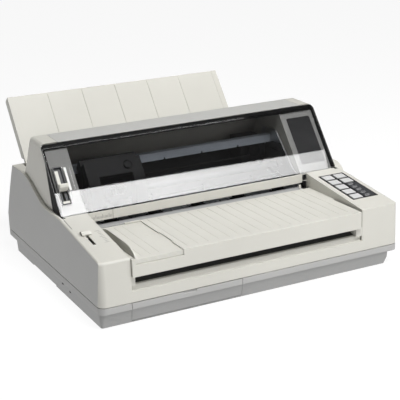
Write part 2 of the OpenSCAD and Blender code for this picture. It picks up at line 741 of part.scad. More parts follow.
module paper_table() {
    cut_x1 = guide_x1 + 0.5;                // the guide's plate is seen up to here
    notch = [table_y1 - 64, table_y1 - 108];
    // rear lip over the guide's plate
    color(cream) block([max(guide_x1 - 24, guide_x0 + guide_travel + 5), cut_x1 + 0.5],
                       [table_y1 - 3.4, table_y1 - 0.6], [guide_z + guide_gap, table_h + 0.8]);
    color(cream) difference() {
        block([table_x0, table_x1], [table_y0, table_y1], [fascia_z, table_h]);
        // inside
        block([table_x0 + 2, table_x1 - 2], [table_y0 + 2.6 + 1.6, table_y1 - 2],
            [fascia_z - 1, guide_z - guide_t - 1.6]);
        block([guide_x1 + guide_hidden + guide_travel + 3, table_x1 - 2], [table_y0 + 4.2, table_y1 - 2],
              [fascia_z - 1, table_h - 2.5]);
        // recess and pocket of the paper guide
        block([guide_x0 - 0.4, cut_x1], [table_y0 - 1, table_y1 + 1],
            [guide_z - guide_t - guide_gap, table_h + 1]);
        block([guide_x0 - 0.4, cut_x1], [table_y0 - 1, table_y0 + 3.2],
            [table_h - guide_flange_h - 2, table_h + 1]);
        block([cut_x1 - 1, cut_x1 + guide_hidden + guide_travel], [table_y0 + 1.3, table_y1 + 1],
              [guide_z - guide_t - guide_gap, table_h - table_t]);
        block([cut_x1 - 1, cut_x1 + guide_hidden + guide_travel], [table_y0 + 1.3, table_y0 + 3.2],
              [table_h - guide_flange_h - 2, table_h - table_t]);
        // finger notch beside the guide
        block([cut_x1 - 1, cut_x1 + 1.9], [notch[1], notch[0]], [table_h - table_t - 1, table_h + 1]);
        // grooves
        for (x = [cut_x1 + rib_pitch*0.6 : rib_pitch : table_x1 - 6])
            block([x, x + groove_w], [table_y0 + 10, table_y1 - 4], [table_h - 0.4, table_h + 1]);
    }
}

module left_guide() {
    fence_t = 1.8;
    y0 = table_y0;
    y1 = table_y1;
    fence_z = table_h + fence_h;
    fence_rise = 34;                        // length of its rounded front end
    fence_fall = 38;                        // and of its rounded rear end
    fence_y1 = y1 - 20;
    color(cream) {
        difference() {
            union() {
                block([guide_x0, guide_x1 + guide_hidden], [y0 + 1.5, y1], [guide_z - guide_t, guide_z]);
                block([guide_x0, guide_x1 + guide_hidden], [y0 + 1.5, y0 + 3],
                    [table_h - guide_flange_h - 1.6, guide_z]);
            }
            for (i = [1:3]) let (x = guide_x0 + i*rib_pitch*0.8)
                block([x, x + groove_w], [y0 + 12, y1 - 8], [guide_z - 0.4, guide_z + 1]);
            // seam of the finger plate
            block([guide_x1 - 21, guide_x1 + guide_hidden], [y1 - 63.5, y1 - 63],
                [guide_z - 0.4, guide_z + 1]);
        }
        // fence, rounded down at both ends
        along_x(guide_x0, guide_x0 + fence_t) polygon(concat(
            [[y0 + 1.5, guide_z - 1], [y0 + 1.5, guide_z]],
            [for (i = [1:8]) let (a = i*90/8)
                [y0 + 1.5 + fence_rise*(1 - cos(a)), guide_z + (fence_z - guide_z)*sin(a)]],
            [for (i = [8:-1:1]) let (a = i*90/8)
                [fence_y1 - fence_fall*(1 - cos(a)), guide_z + (fence_z - guide_z)*sin(a)]],
            [[fence_y1, guide_z], [fence_y1, guide_z - 1]]));
    }
}

// Two strips below the window: a short one with a scale, and a long one
module front_strip() {
    split = bay_x0 + scale_strip_w;
    z0 = table_h + strip_gap;
    z1 = deck_back_h - 1.6;
    h = z1 - z0;
    marks = 18;
    color(cream) {
        difference() {
            block([bay_x0, split], [hood_y, hood_y + 2.4], [z0, z1]);
            for (i = [0:marks - 1]) block([bay_x0 + 2 + i*2, bay_x0 + 2.4 + i*2],
                [hood_y - 1, hood_y + 0.3], [z0 + 0.23*h, z0 + (i % 5 == 0 ? 0.68 : 0.5)*h]);
        }
        block([split + 0.6, bay_x1], [hood_y, hood_y + 2.4], [z0, z1]);
        block([bay_x0, bay_x1], [hood_y + 2.4, hood_y + 4.4], [z0 + 0.3*h, z0 + 0.6*h]);
    }
}

module entry_guide() {
    z0 = table_h - 2.2;
    // half length of a roller's window
    window = sqrt(max(0, feed_r*feed_r - pow(z0 - feed_z, 2))) + 1;
    color(steel) difference() {
        block([frame_x0 + frame_t2, frame_x1 - frame_t2], [table_y1 + 0.5, platen_y - platen_r - 2.5],
            [z0, table_h - 1]);
        for (x = feed_x) block([x - 2, x + feed_roll_l + 2], [feed_y - window, feed_y + window], [0, 200]);
    }
}

module slot_guide() {
    color(black) along_x(slot_x0, slot_x1) polygon([
        [yf + 20.5, slot_z - 2], [yf + 20.5, slot_z - 0.4], [hood_y - 14, slot_z - 0.4],
        [hood_y - 2, slot_z + 4], [hood_y - 1.2, slot_z + 2.6], [hood_y - 13.6, slot_z - 2]]);
    color(black) for (x = [slot_x0, slot_x1 - 2])
        block([x, x + 2], [yf + 38, hood_y - 20], [floor_z, slot_z - 1.9]);
}

// ---------- Control panel ----------

// A key's or a window's lower left corner, column c and row r from the back
function cell_x(c) = panel_bar + c*(cell_w + panel_bar);
function cell_y(r) = panel_l - (r + 1)*(cell_l + panel_bar);

module panel_bezel() {
    color(black) on_deck(panel_x0, panel_y) difference() {
        translate([0.1, 0.1, -1]) cube([panel_w - 0.2, panel_l - 0.2, bezel_t]);
        for (c = [0, 1], r = [0:4]) if (c == 0 || r < 2)
            translate([cell_x(c), cell_y(r), -5]) cube([cell_w, cell_l, 10]);
        translate([cell_x(1), cell_y(4), -5]) cube([cell_w, 3*cell_l + 2*panel_bar, 10]);
    }
}

// Dark plate with five small lamps, beside the front keys
module indicator_plate() {
    l = 3*cell_l + 2*panel_bar;
    on_deck(panel_x0, panel_y) translate([cell_x(1), cell_y(4), 0]) {
        color(dark) difference() {
            union() {
                translate([0.2, 0.2, -1.8]) cube([cell_w - 0.4, l - 0.4, 1.9]);
                translate([2, 2, -panel_board_d]) cube([3, 3, panel_board_d - 1.8]);
                translate([2, l - 5, -panel_board_d]) cube([3, 3, panel_board_d - 1.8]);
            }
            for (i = [0:4]) translate([cell_w - 5, 5 + i*(l - 10)/4, -3]) cylinder(h = 5, r = 1.3);
        }
        color([0.3, 0.7, 0.3]) for (i = [0:4]) translate([cell_w - 5, 5 + i*(l - 10)/4,
            -2]) cylinder(h = 2.2, r = 1.2);
    }
}

module key(c, r) {
    color([0.84, 0.84, 0.83]) on_deck(panel_x0, panel_y) translate([cell_x(c), cell_y(r), 0]) {
        translate([key_gap, key_gap, key_proud - key_t]) cube([cell_w - 2*key_gap, cell_l - 2*key_gap,
            key_t]);
        translate([cell_w/2, cell_l/2, switch_h - panel_board_d + key_travel + 0.15])
            cylinder(h = panel_board_d - switch_h - key_travel - 0.15 - key_t + key_proud + 0.2, r = stem_r);
    }
}

module panel_board() {
    on_deck(panel_x0, panel_y) translate([0, 0, -panel_board_d]) {
        color([0.15, 0.35, 0.2]) translate([-5, 0, -1.6]) cube([panel_w + 8.5, panel_l, 1.6]);
        color(black) for (c = [0, 1], r = [0:4]) if (c == 0 || r < 2)
            translate([cell_x(c) + cell_w/2 - 3, cell_y(r) + cell_l/2 - 3, 0]) cube([6, 6, switch_h]);
    }
}

// ---------- Levers ----------

module select_lever() {
    color(cream) on_deck(select_x, select_y) {
        translate([-7, -5.5, 0.3]) intersection() {
            cube([14, 11, 6]);
            rotate([90, 0, 90]) linear_extrude(14) polygon([[0, 0], [0, 2.2], [3.5, 5.4], [7.5, 5.4],
                [11, 2.2], [11, 0]]);
        }
        translate([-1.6, -3.5, -9]) cube([3.2, 7, 9.5]);
        translate([-4.5, -5, -wall - 2.3]) cube([9, 10, 1.8]);
    }
}

module lever_bezel() {
    x = gap_x + [bezel_gap, -bezel_gap];
    s = gap_s + [bezel_gap, -bezel_gap];
    on_window(0, 0) {
        color(dark) difference() {
            block(x, s, [-tower_set, -0.6]);
            block(x + [1.2, -1.2], s + [1.5, -1.5], [-tower_set + 1.2, 1]);
            block([x[0] + 4.4, x[0] + 7.4], s + [5.5, -5.5], [-20, 1]);
        }
        color(cream) block(x + [1.4, -1.4], [s[0] + 1.7, s[0] + 5.2], [-tower_set + 1.2, -1]);
    }
}

// Knob, slide plate and stem
module head_lever() {
    x = gap_x + [bezel_gap + 1.6, -bezel_gap - 1.6];
    s = gap_lever_s;
    color(cream) on_window(0, 0) {
        translate([gap_x[0] + 0.5, s - 5, 0]) rotate([90, 0, 90]) linear_extrude(gap_x[1] - gap_x[0] - 1)
            polygon([[0, -0.3], [0, 1.4], [3, 7.5], [6, 9], [8.4, 8.2], [10, 1.4], [10, -0.3]]);
        block(x, [s - 4.8, s + 4.8], [-3.6, -0.2]);
        block([x[0], x[0] + 5], [s + 4, gap_s[1] - 6], [-3.6, -2.2]);
        block([x[0] + 3.4, x[0] + 5.2], [s - 3, s + 3], [-24, -3]);
    }
}

// ---------- Access cover ----------

module top_cover() {
    x0 = cover_x0;
    x1 = cover_x1;
    color(cream) {
        along_x(x0, x1) polygon(concat(
            [[top_y0 + 4.1, hood_h - skin], [top_y0, hood_h]],
            [for (i = [0:6]) let (a = 90 - i*(90 - hood_rear_lean)/6) [hinge_y + hinge_r*cos(a),
                hinge_z + hinge_r*sin(a)]],
            [for (i = [0:6]) let (a = hood_rear_lean + i*(90 - hood_rear_lean)/6)
                [hinge_y + (hinge_r - skin)*cos(a), hinge_z + (hinge_r - skin)*sin(a)]]));
        // hinge arms and pins
        for (side = [[x0, x0 + 4, x0 - 6], [x1 - 4, x1, x1]]) {
            along_x(side[0], side[1]) union() {
                translate([hinge_y, hinge_z]) circle(hinge_pin_r + 2.5);
                translate([hinge_y - 5, hinge_z]) square([8, hinge_r - 1]);
            }
            bar_x([side[2], side[2] + 6], [hinge_y, hinge_z], hinge_pin_r);
        }
    }
}

// Black frame: a bar above the window, a side piece at each end and a flange below the cover's top
module window_frame() {
    s1 = window_l - 0.9;
    s0 = window_l - frame_bar;
    p = pane_t + 0.002;
    color(black) {
        difference() {
            along_x(-hood_x, hood_x) polygon([
                window_at(1.6, p), window_at(s0 + 0.002, p), window_at(s0 + 0.002, 0.8), window_at(s1, 0.8),
                window_at(s1 - 2.4, 4.6), frame_side_at(4.6),
                [hood_y + frame_foot + 0.5/tan(frame_side_angle), deck_back_h + 0.5]]);
            along_x(-hood_x + frame_t, hood_x - frame_t) polygon([
                window_at(-20, -20), window_at(s0 - 2, -20), window_at(s0 - 2, 80), window_at(-20, 80)]);
            block([-hood_x - 1, hood_x + 1], [hood_y - 20, hood_y + 60],
                [deck_back_h - 30, deck_back_h + 0.8]);
        }
        along_x(cover_x0, cover_x1) polygon([window_at(s1 - 4.4, 4.5), window_at(s1 - 0.2, 1.2),
            window_at(s1 - 0.2, 4.4),
            [top_y0 + 4.6, hood_h - skin], [top_y0 + 12, hood_h - skin], [top_y0 + 12, hood_h - skin - 2],
            [top_y0 + 5, hood_h - skin - 2]]);
    }
}

module window_pane() {
    color([0.25, 0.25, 0.26, 0.4]) on_window(0, 0) difference() {
        block([-hood_x, hood_x], [1.5, window_l - frame_bar], [-pane_t, 0]);
        block(gap_x, gap_s, [-pane_t - 1, 1]);
    }
}

module cover_foam() {
    color(dark) block([bay_x0 + 3, bay_x1 - 3], [top_y0 + 12.5, hinge_y - 10],
        [hood_h - skin - 5, hood_h - skin]);
}

// ---------- Paper support ----------

// Leans from the hinge: local Y up along the support, local Z out of its front
module on_support() {
    translate([0, support_c[0], support_c[1]]) rotate([90 - support_lean, 0, 0]) children();
}

module paper_support() {
    h = support_l + support_drop;
    lip = 9;
    front = support_t/2;
    root = 24;                              // length of the thick part at the hinge
    edge_y0 = 20;                           // where the side edges begin
    color([0.9, 0.89, 0.85]) {
        on_support() difference() {
            union() {
                block([support_x0, support_x1], [0, root], [-front, front]);
                block([support_x0, support_x1], [0, h], [front - support_skin, front]);
                block([support_x0, support_x1], [h - support_skin, h], [-front, front]);
                for (x = [support_x0, support_x1 - lip]) block([x, x + lip], [8, h],
                    [front - e, front + 0.7]);
                // side edges, which end level above the case
                for (x = [support_x0, support_x1 - support_skin]) along_x(x, x + support_skin)
                    polygon([[edge_y0, front - e],
                        [edge_y0 + support_edge_d*tan(support_lean), front - support_edge_d],
                             [h - 1, front - support_edge_d], [h, front - support_edge_d + 1],
                                 [h, front - e]]);
            }
            for (i = [1:5]) let (x = support_x0 + 7 + i*support_pitch)
                block([x, x + 1.3], [6, h - 2.5], [front - 1.2, front + 2]);
        }
        bar_x([support_x0, support_x1], support_c, support_t/2 + 0.8);
        for (x = [support_x0 - 7, support_x1]) bar_x([x, x + 7], support_c, hinge_pin_r);
    }
}

// ---------- Side frames and paper feed ----------

module side_frame(x, holes) {
    color(steel) difference() {
        along_x(x, x + frame_t2) polygon(frame_outline);
        for (h = holes) bar_x([x - 1, x + frame_t2 + 1], [h[0], h[1]], h[2]);
        block([x - 1, x + 3], [hood_y + 70, hood_y + 118], [floor_z + 8, table_h - 28]);
    }
}

module left_frame() {
    y0 = belt_y + belt_w/2 + 3;
    side_frame(frame_x0, frame_holes);
    // bearing block of the idler pulley
    color(steel) difference() {
        block([frame_x0 + frame_t2 - e, pulley_x0 + 7], [y0, y0 + 8], about(belt_z, 7));
        along_y(y0 - 1, y0 + 9) translate([pulley_x0, belt_z]) circle(2.5 + pin_gap);
    }
}

module right_frame() {
    side_frame(frame_x1 - frame_t2, concat(frame_holes, [[pinion_c[0], pinion_c[1], 4]]));
    // studs of the two idle gears
    color(steel) for (c = [idler_c, reduction_c]) bar_x([frame_x1, gear_x + gear_w + 1], c, gear_stud_r);
}

module gear(n, c, turn, bore) {
    p = 360/n;
    r = pitch_r(n);
    tip = r + 0.75*gear_module;
    root = r - 1.05*gear_module;
    color(nylon) along_x(gear_x, gear_x + gear_w) translate(c) difference() {
        union() {
            circle(root + 0.02);
            polygon([for (i = [0:n - 1], k = [[root, -0.33], [r, -0.22], [tip, -0.11], [tip, 0.11],
                [r, 0.22], [root, 0.33]])
                let (a = turn + (i + k[1])*p) k[0]*[cos(a), sin(a)]]);
        }
        circle(bore);
    }
}

module platen_gear() { gear(platen_n, platen_c, platen_turn, shaft_r); }
module feed_gear() { gear(feed_n, feed_c, feed_turn, feed_shaft_r); }
module idler_gear() { gear(idler_n, idler_c, idler_turn, gear_stud_r + pin_gap); }
module reduction_gear() { gear(reduction_n, reduction_c, reduction_turn, gear_stud_r + pin_gap); }

module motor_pinion() {
    gear(pinion_n, pinion_c, pinion_turn, 2);
    color(steel) bar_x([frame_x1 - frame_t2 - 4, gear_x + gear_w + 0.5], pinion_c, 2);
}

module feed_motor() {
    x1 = frame_x1 - frame_t2;
    color(dark) difference() {
        union() {
            bar_x([x1 - 32, x1], pinion_c, 18);
            block([x1 - 1.5, x1], about(pinion_c[0], 22), about(pinion_c[1], 8));
        }
        bar_x([x1 - 5, x1 + 1], pinion_c, 2 + pin_gap);
    }
}

module platen() {
    color(rubber) tube_x([frame_x0 + frame_t2 + 1, frame_x1 - frame_t2 - 1], platen_c, platen_r, shaft_r);
}

module platen_shaft() {
    color(steel) bar_x([frame_x0 - 2, xr + knob_gap + knob_t - 6], platen_c, shaft_r);
}

module platen_knob() {
    x0 = xr + knob_gap;
    x1 = x0 + knob_t;
    ribs = 36;
    color(cream) difference() {
        along_x(x0, x1) translate(platen_c) difference() {
            circle(knob_r);
            for (i = [0:ribs - 1]) rotate(i*360/ribs) translate([knob_r + 0.5, 0]) circle(1.1, $fn = 8);
        }
        bar_x([x1 - 4, x1 + 1], platen_c, knob_r - 7);
        bar_x([x0 - 1, x1 - 6], platen_c, shaft_r);
    }
}

module feed_roller() {
    color(steel) bar_x([frame_x0 - 2, gear_x + gear_w], feed_c, feed_shaft_r);
    color(rubber) for (x = feed_x) tube_x([x, x + feed_roll_l], feed_c, feed_r, feed_shaft_r);
}

module pinch_roller() {
    c = [pinch_y, pinch_z];
    color(steel) bar_x([frame_x0 - 2, frame_x1 + 2], c, pinch_shaft_r);
    color(rubber) for (x = feed_x) tube_x([x + 3, x + feed_roll_l - 3], c, pinch_r, pinch_shaft_r);
}

// ---------- Carriage ----------

module guide_shaft() {
    color(steel) bar_x([frame_x0 + frame_t2, frame_x1 - frame_t2], [guide_y, guide_sz], guide_r);
}

// Angle rail behind the carriage, notched along its lower edge
module guide_rail() {
    notch = 63.5;
    x0 = frame_x0 + frame_t2;
    x1 = frame_x1 - frame_t2;
    color([0.5, 0.54, 0.6]) difference() {
        union() {
            block([x0, x1], [rail_y, rail_y + 1.6], [rail_z, rail_z + 12]);
            block([x0, x1], [rail_y, rail_y + 12], [rail_z + 10.4, rail_z + 12]);
        }
        for (x = [x0 + 30 : notch : x1 - 10]) block([x, x + 3], [rail_y - 1, rail_y + 3],
            [rail_z - 1, rail_z + 2.5]);
    }
}

module carriage() {
    x0 = carriage_x0;
    x1 = x0 + carriage_w;
    y = platen_y;
    color(black) difference() {
        union() {
            along_x(x0, x1) polygon([
                [y + 20, guide_sz - 7], [y + 38, guide_sz - 7], [y + 38, rail_z + 6], [y + 42.7, rail_z + 6],
                [y + 42.7, rail_z + 9.5], [y + 35, rail_z + 22], [y + 30, rail_z + 22],
                    [y + 20, rail_z + 8]]);
            // belt clamp
            block([x0 + 10, x0 + 34], [y + 37, belt_y + belt_w/2 + 2],
                [belt_z + pulley_r - 3, belt_z + pulley_r + 3.4]);
            // head seat
            block([x0 + 24, x0 + 64], [y + 12, y + 21], [nip + 14, nip + 36]);
        }
        bar_x([x0 - 1, x1 + 1], [guide_y, guide_sz], guide_r + pin_gap);
        block([x0 + 9, x0 + 35], [belt_y - belt_w/2 - run, belt_y + belt_w/2 + run],
              [belt_z + pulley_r - run, belt_z + pulley_r + belt_t + run]);
    }
}

// Square body with cooling fins, and a nose over the platen
module print_head() {
    x = carriage_x0 + 44;
    y = platen_y;
    color(dark) {
        translate([x, y, nip + 1.5]) cylinder(h = 9, r1 = 5, r2 = 9);
        translate([x, y, nip + 10.4]) cylinder(h = 6, r = 11);
        block([x - 14, x + 14], [y - 9, y + 12], [nip + 16.3, nip + 24]);
        for (i = [0:6]) block([x - 14 + i*4.3, x - 11.8 + i*4.3], [y - 7, y + 12], [nip + 23.9, nip + 33]);
    }
}

// Flat box behind the window with two arms that reach down to the print line
module ribbon_cartridge() {
    x0 = carriage_x0;
    x1 = x0 + carriage_w;
    y = platen_y;
    s0 = 54;                                // the box's lower and upper edges, up the window's slope
    s1 = 79.5;
    arm = 18;
    color(black) difference() {
        along_x(x0, x1) polygon([
            window_at(s1, 14), window_at(s1, 26), window_at(s0, 26), [y + 6, nip + 20], [y + 6, nip + 3],
            [y - 10, nip + 3], [y - 13, nip + 8], [y - 13, nip + 20], window_at(30, 18), window_at(s0, 14)]);
        along_x(x0 + arm, x1 - arm) polygon([
            window_at(s0 + 0.4, 0), window_at(s0 + 0.4, 45), [y + 40, nip - 2], [y - 40, nip - 2]]);
        // ribbon knob's well
        on_window(x0 + 66, s0 + 12.8) translate([0, 0, -17]) cylinder(h = 10, r = 7);
    }
    color(dark) on_window(x0 + 66, s0 + 12.8) translate([0, 0, -17]) cylinder(h = 4.5, r = 5.5);
    // inked ribbon between the arms
    color(rubber) block([x0 + arm - 0.1, x1 - arm + 0.1], [y - 4, y + 4], [nip + 0.7, nip + 1.1]);
    color(black) for (x = [x0 + arm - 4, x1 - arm]) block([x, x + 4], [y - 4, y + 4], [nip + 0.7, nip + 3.1]);
}

// Flat belt round two pulleys
module carriage_belt() {
    color(rubber) along_y(belt_y - belt_w/2, belt_y + belt_w/2) difference() {
        belt_outline(pulley_r + belt_t);
        belt_outline(pulley_r + 0.05);
    }
}

module belt_outline(r) {
    translate([pulley_x0, belt_z]) circle(r);
    translate([pulley_x1, belt_z]) circle(r);
    translate([pulley_x0, belt_z - r]) square([pulley_x1 - pulley_x0, 2*r]);
}

module pulley(x, shaft_l) {
    c = [x, belt_z];
    color(nylon) difference() {
        union() {
            along_y(belt_y - belt_w/2 - 0.5, belt_y + belt_w/2 + 0.5) translate(c) circle(pulley_r);
            along_y(belt_y - belt_w/2 - 1.7, belt_y - belt_w/2 - 0.5) translate(c) circle(pulley_r + 2);
        }
        along_y(belt_y - 20, belt_y + 20) translate(c) circle(2.5);
    }
    color(steel) along_y(belt_y - belt_w/2 - 2, belt_y + belt_w/2 + shaft_l) translate(c) circle(2.5);
}

module drive_pulley() { pulley(pulley_x1, 8); }
module idler_pulley() { pulley(pulley_x0, 8); }

module carriage_motor() {
    y0 = belt_y + belt_w/2 + 3;
    color(dark) difference() {
        union() {
            block(about(pulley_x1, 20), [y0, y0 + 34], about(belt_z, 20));
            block([pulley_x1 + 19, frame_x1 - frame_t2], [y0, y0 + 3], about(belt_z, 14));
        }
        along_y(y0 - 1, y0 + 8) translate([pulley_x1, belt_z]) circle(2.5 + pin_gap);
    }
}

// ---------- Bail and exit ----------

module paper_bail() {
    x0 = frame_x0 + frame_t2 + 1;
    x1 = frame_x1 - frame_t2 - 1;
    color(steel) {
        bar_x([x0 + 2, x1 - 2], bail_c, bail_rod_r);
        for (x = [x0, x1 - 2]) difference() {
            along_x(x, x + 2) hull_bar(bail_c, bail_pivot, 3.5);
            bar_x([x - 1, x + 3], bail_pivot, 1.5);
        }
        for (x = [frame_x0, x1 - 1]) bar_x([x, x + 4], bail_pivot, bail_rod_r);
    }
}

// A flat link with round ends from a to b
module hull_bar(a, b, r) {
    d = b - a;
    translate(a) circle(r);
    translate(b) circle(r);
    translate(a) rotate(atan2(d[1], d[0])) translate([0, -r]) square([norm(d), 2*r]);
}

module bail_rollers() {
    n = 4;
    color(rubber) for (i = [0:n - 1]) let (x = frame_x0 + 40 + i*(frame_x1 - frame_x0 - 92)/(n - 1))
        tube_x([x, x + 12], bail_c, bail_roll_r, bail_rod_r + pin_gap);
}

// Curved sheet that leads the paper up to the rear slot
module exit_chute() {
    y0 = platen_y + platen_r + 3;
    y1 = support_c[0] - 12;
    z0 = nip - 3;
    z1 = rear_h - 6;
    n = 10;
    t = 1.4;
    function at(i, d) = let (f = i/n) [y0 + (y1 - y0)*f + d*0.7*f,
        z0 + (z1 - z0)*pow(f, 2.6) - d*(1 - 0.5*f)];
    color(dark) along_x(frame_x0 + frame_t2, frame_x1 - frame_t2)
        polygon(concat([for (i = [0:n]) at(i, 0)], [for (i = [n:-1:0]) at(i, t)]));
}

// ---------- Electrics ----------

module main_board() {
    z = board_z + 1.6;
    color([0.15, 0.35, 0.2]) block(board_x, board_y, [board_z, z]);
    color(black) {
        for (i = [0:3]) block([-8 + i*26, 10 + i*26], [102, 116], [z, z + 4]);
        block([96, 120], [100, 124], [z, z + 3]);
    }
    color(steel) for (i = [0:2]) translate([140 + i*16, 112, z]) cylinder(h = 16, r = 6);
}

module transformer() {
    c = transformer_c;
    w = transformer_w/2;
    d = transformer_d/2;
    z = floor_z + transformer_h;
    color(steel) {
        block(about(c[0], w), about(c[1], d), [floor_z, floor_z + 6]);
        block(about(c[0], w - 6), about(c[1], d - 4), [floor_z + 6, z]);
    }
    color([0.6, 0.3, 0.15]) for (y = [c[1] - d - 4, c[1] + d - 4])
        block(about(c[0], w - 18), [y, y + 8], [floor_z + 14, z - 8]);
}

// Steel plate behind the opening in the rear, with sockets through it
module port_plate() {
    color(steel) difference() {
        block([port_x0, port_x1], [plate_y, plate_y + 1.5], [floor_z, base_h + 38]);
        block(inlet_x, [plate_y - 1, plate_y + 3], inlet_z);
        block(socket_x, [plate_y - 1, plate_y + 3], socket_z);
        block(rocker_x, [plate_y - 1, plate_y + 3], rocker_z);
    }
}

module rear_sockets() {
    color(black) {
        difference() {
            union() {
                block(inlet_x, [plate_y - 16, plate_y + 4.5], inlet_z);
                block(inlet_x + [-3, 3], [plate_y + 1.5, plate_y + 3.5], inlet_z + [-2, 2]);
            }
            block(inlet_x + [3, -3], [plate_y - 12, plate_y + 5], inlet_z + [3, -3]);
        }
        for (x = [-6, 0, 6]) block([154 + x - 1, 154 + x + 1], [plate_y - 12.1, plate_y + 1],
            [inlet_z[0] + 8, inlet_z[0] + 12]);
        // switch housing
        difference() {
            union() {
                block(rocker_x, [plate_y - 14, plate_y + 2], rocker_z);
                block(rocker_x + [-1.5, 1.5], [plate_y + 1.5, plate_y + 3], rocker_z + [-1.5, 1.5]);
            }
            block(rocker_x + [1.5, -1.5], [plate_y - 10, plate_y + 4], rocker_z + [1.5, -1.5]);
            bar_x([rocker_x[0] + 0.3, rocker_x[1] - 0.3], rocker_c, 1 + pin_gap);
        }
    }
    color(steel) difference() {
        block(socket_x, [plate_y - 8, plate_y + 8], socket_z);
        block(socket_x + [1.5, -1.5], [plate_y + 1, plate_y + 9], socket_z + [1.5, -1.5]);
    }
    color(black) block(socket_x + [5, -5], [plate_y + 0.9, plate_y + 7], socket_z + [4.5, -4.5]);
}

module power_rocker() {
    x = rocker_x + [2, -2];
    color(black) {
        along_x(x[0], x[1]) translate(rocker_c) polygon([[-4, -3], [-4, 3], [3.6, 7.1], [5.2, 7.1],
            [3.6, 0], [2.6, -7.1], [1.2, -7.1]]);
        bar_x([x[0] - 1.4, x[1] + 1.4], rocker_c, 1);
    }
}

module key_a1() { key(0, 0); }
module key_a2() { key(0, 1); }
module key_a3() { key(0, 2); }
module key_a4() { key(0, 3); }
module key_a5() { key(0, 4); }
module key_b1() { key(1, 0); }
module key_b2() { key(1, 1); }

lower_case();
front_flap();
rubber_feet();
upper_case();
paper_table();
left_guide();
front_strip();
entry_guide();
slot_guide();
panel_bezel();
indicator_plate();
key_a1();
key_a2();
key_a3();
key_a4();
key_a5();
key_b1();
key_b2();
panel_board();
select_lever();
lever_bezel();
head_lever();
top_cover();
window_frame();
window_pane();
cover_foam();
paper_support();
left_frame();
right_frame();
platen();
platen_shaft();
platen_knob();
platen_gear();
feed_roller();
feed_gear();
idler_gear();
reduction_gear();
feed_motor();
motor_pinion();
pinch_roller();
guide_shaft();
guide_rail();
carriage();
print_head();
ribbon_cartridge();
carriage_belt();
drive_pulley();
idler_pulley();
carriage_motor();
paper_bail();
bail_rollers();
exit_chute();
main_board();
transformer();
port_plate();
rear_sockets();
power_rocker();
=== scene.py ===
import json
import math

import bmesh
import bpy
from mathutils import Matrix, Vector

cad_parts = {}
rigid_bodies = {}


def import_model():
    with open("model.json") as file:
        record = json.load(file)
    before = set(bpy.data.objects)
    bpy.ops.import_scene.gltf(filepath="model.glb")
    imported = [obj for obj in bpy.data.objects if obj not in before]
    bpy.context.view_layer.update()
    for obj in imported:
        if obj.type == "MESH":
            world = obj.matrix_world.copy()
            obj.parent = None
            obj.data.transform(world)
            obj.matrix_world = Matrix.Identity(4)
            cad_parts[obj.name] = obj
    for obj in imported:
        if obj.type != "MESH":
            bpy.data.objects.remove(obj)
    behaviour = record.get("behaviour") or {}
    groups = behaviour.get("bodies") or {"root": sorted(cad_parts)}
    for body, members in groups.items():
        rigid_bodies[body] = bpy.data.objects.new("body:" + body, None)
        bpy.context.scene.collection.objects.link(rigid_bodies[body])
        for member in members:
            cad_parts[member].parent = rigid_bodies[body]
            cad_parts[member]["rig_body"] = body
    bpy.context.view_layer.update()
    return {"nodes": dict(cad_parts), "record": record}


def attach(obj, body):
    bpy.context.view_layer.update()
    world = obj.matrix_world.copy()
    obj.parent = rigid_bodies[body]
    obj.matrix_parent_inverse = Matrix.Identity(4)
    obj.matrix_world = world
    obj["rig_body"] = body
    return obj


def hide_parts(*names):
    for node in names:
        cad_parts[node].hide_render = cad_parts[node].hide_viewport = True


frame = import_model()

MM = 0.001

# ---------- Places on the part, in millimetres ----------

DECK_Y, DECK_Z, DECK_ANGLE = -48.0, 112.8, math.radians(7.43)      # the decks' rear edge
WINDOW_Y, WINDOW_Z, WINDOW_ANGLE = -48.0, 112.8, math.radians(53.35)  # the window's lower edge
HOOD_X = 226.0                      # half width of the hood
TOWER_DEPTH = 5.5                   # from the window's plane to the towers behind it
PANEL_X, PANEL_Y = 180.0, -163.5    # the panel's front left corner
KNOB_CENTRE = (-3.0, 81.0)          # y and z
KNOB_INNER_X, KNOB_RADIUS, KNOB_RIBS = 238.5, 30.0, 36
PANEL_PLATE_X = 22.9                # from the panel's left edge to the indicator plate


def at(x, y, z):
    return Vector((x, y, z)) * MM


def new_object(name, data):
    """An object in the scene's collection."""
    made = bpy.data.objects.new(name, data)
    bpy.context.scene.collection.objects.link(made)
    return made


def window_frame_at(x, s, out=0.0):
    """A matrix on the window's plane: X right, Y up the slope, Z out of it."""
    turn = Matrix.Rotation(WINDOW_ANGLE, 4, "X")
    y = WINDOW_Y + s * math.cos(WINDOW_ANGLE) - out * math.sin(WINDOW_ANGLE)
    z = WINDOW_Z + s * math.sin(WINDOW_ANGLE) + out * math.cos(WINDOW_ANGLE)
    return Matrix.Translation(at(x, y, z)) @ turn


def deck_frame_at(x, y, out=0.0):
    """A matrix on the deck above a point: X right, Y up the slope, Z out of it."""
    turn = Matrix.Rotation(DECK_ANGLE, 4, "X")
    z = DECK_Z + (y - DECK_Y) * math.tan(DECK_ANGLE)
    origin = at(x, y - out * math.sin(DECK_ANGLE), z + out * math.cos(DECK_ANGLE))
    return Matrix.Translation(origin) @ turn


# ---------- Camera and light ----------

CAMERA_EYE = at(-674.58, -1401.46, 568.14)
CAMERA_YAW = 0.45537                # turn to the right of the Y axis
CAMERA_PITCH = 0.30060              # look down
CAMERA_ROLL = -0.041563
CAMERA_LENS = 96.45                 # for a sensor 36 mm wide


def basis(x, y, z, place):
    """A matrix with the given axes as its columns, placed at a point."""
    turn = Matrix((x, y, z)).transposed().to_4x4()
    return Matrix.Translation(place) @ turn


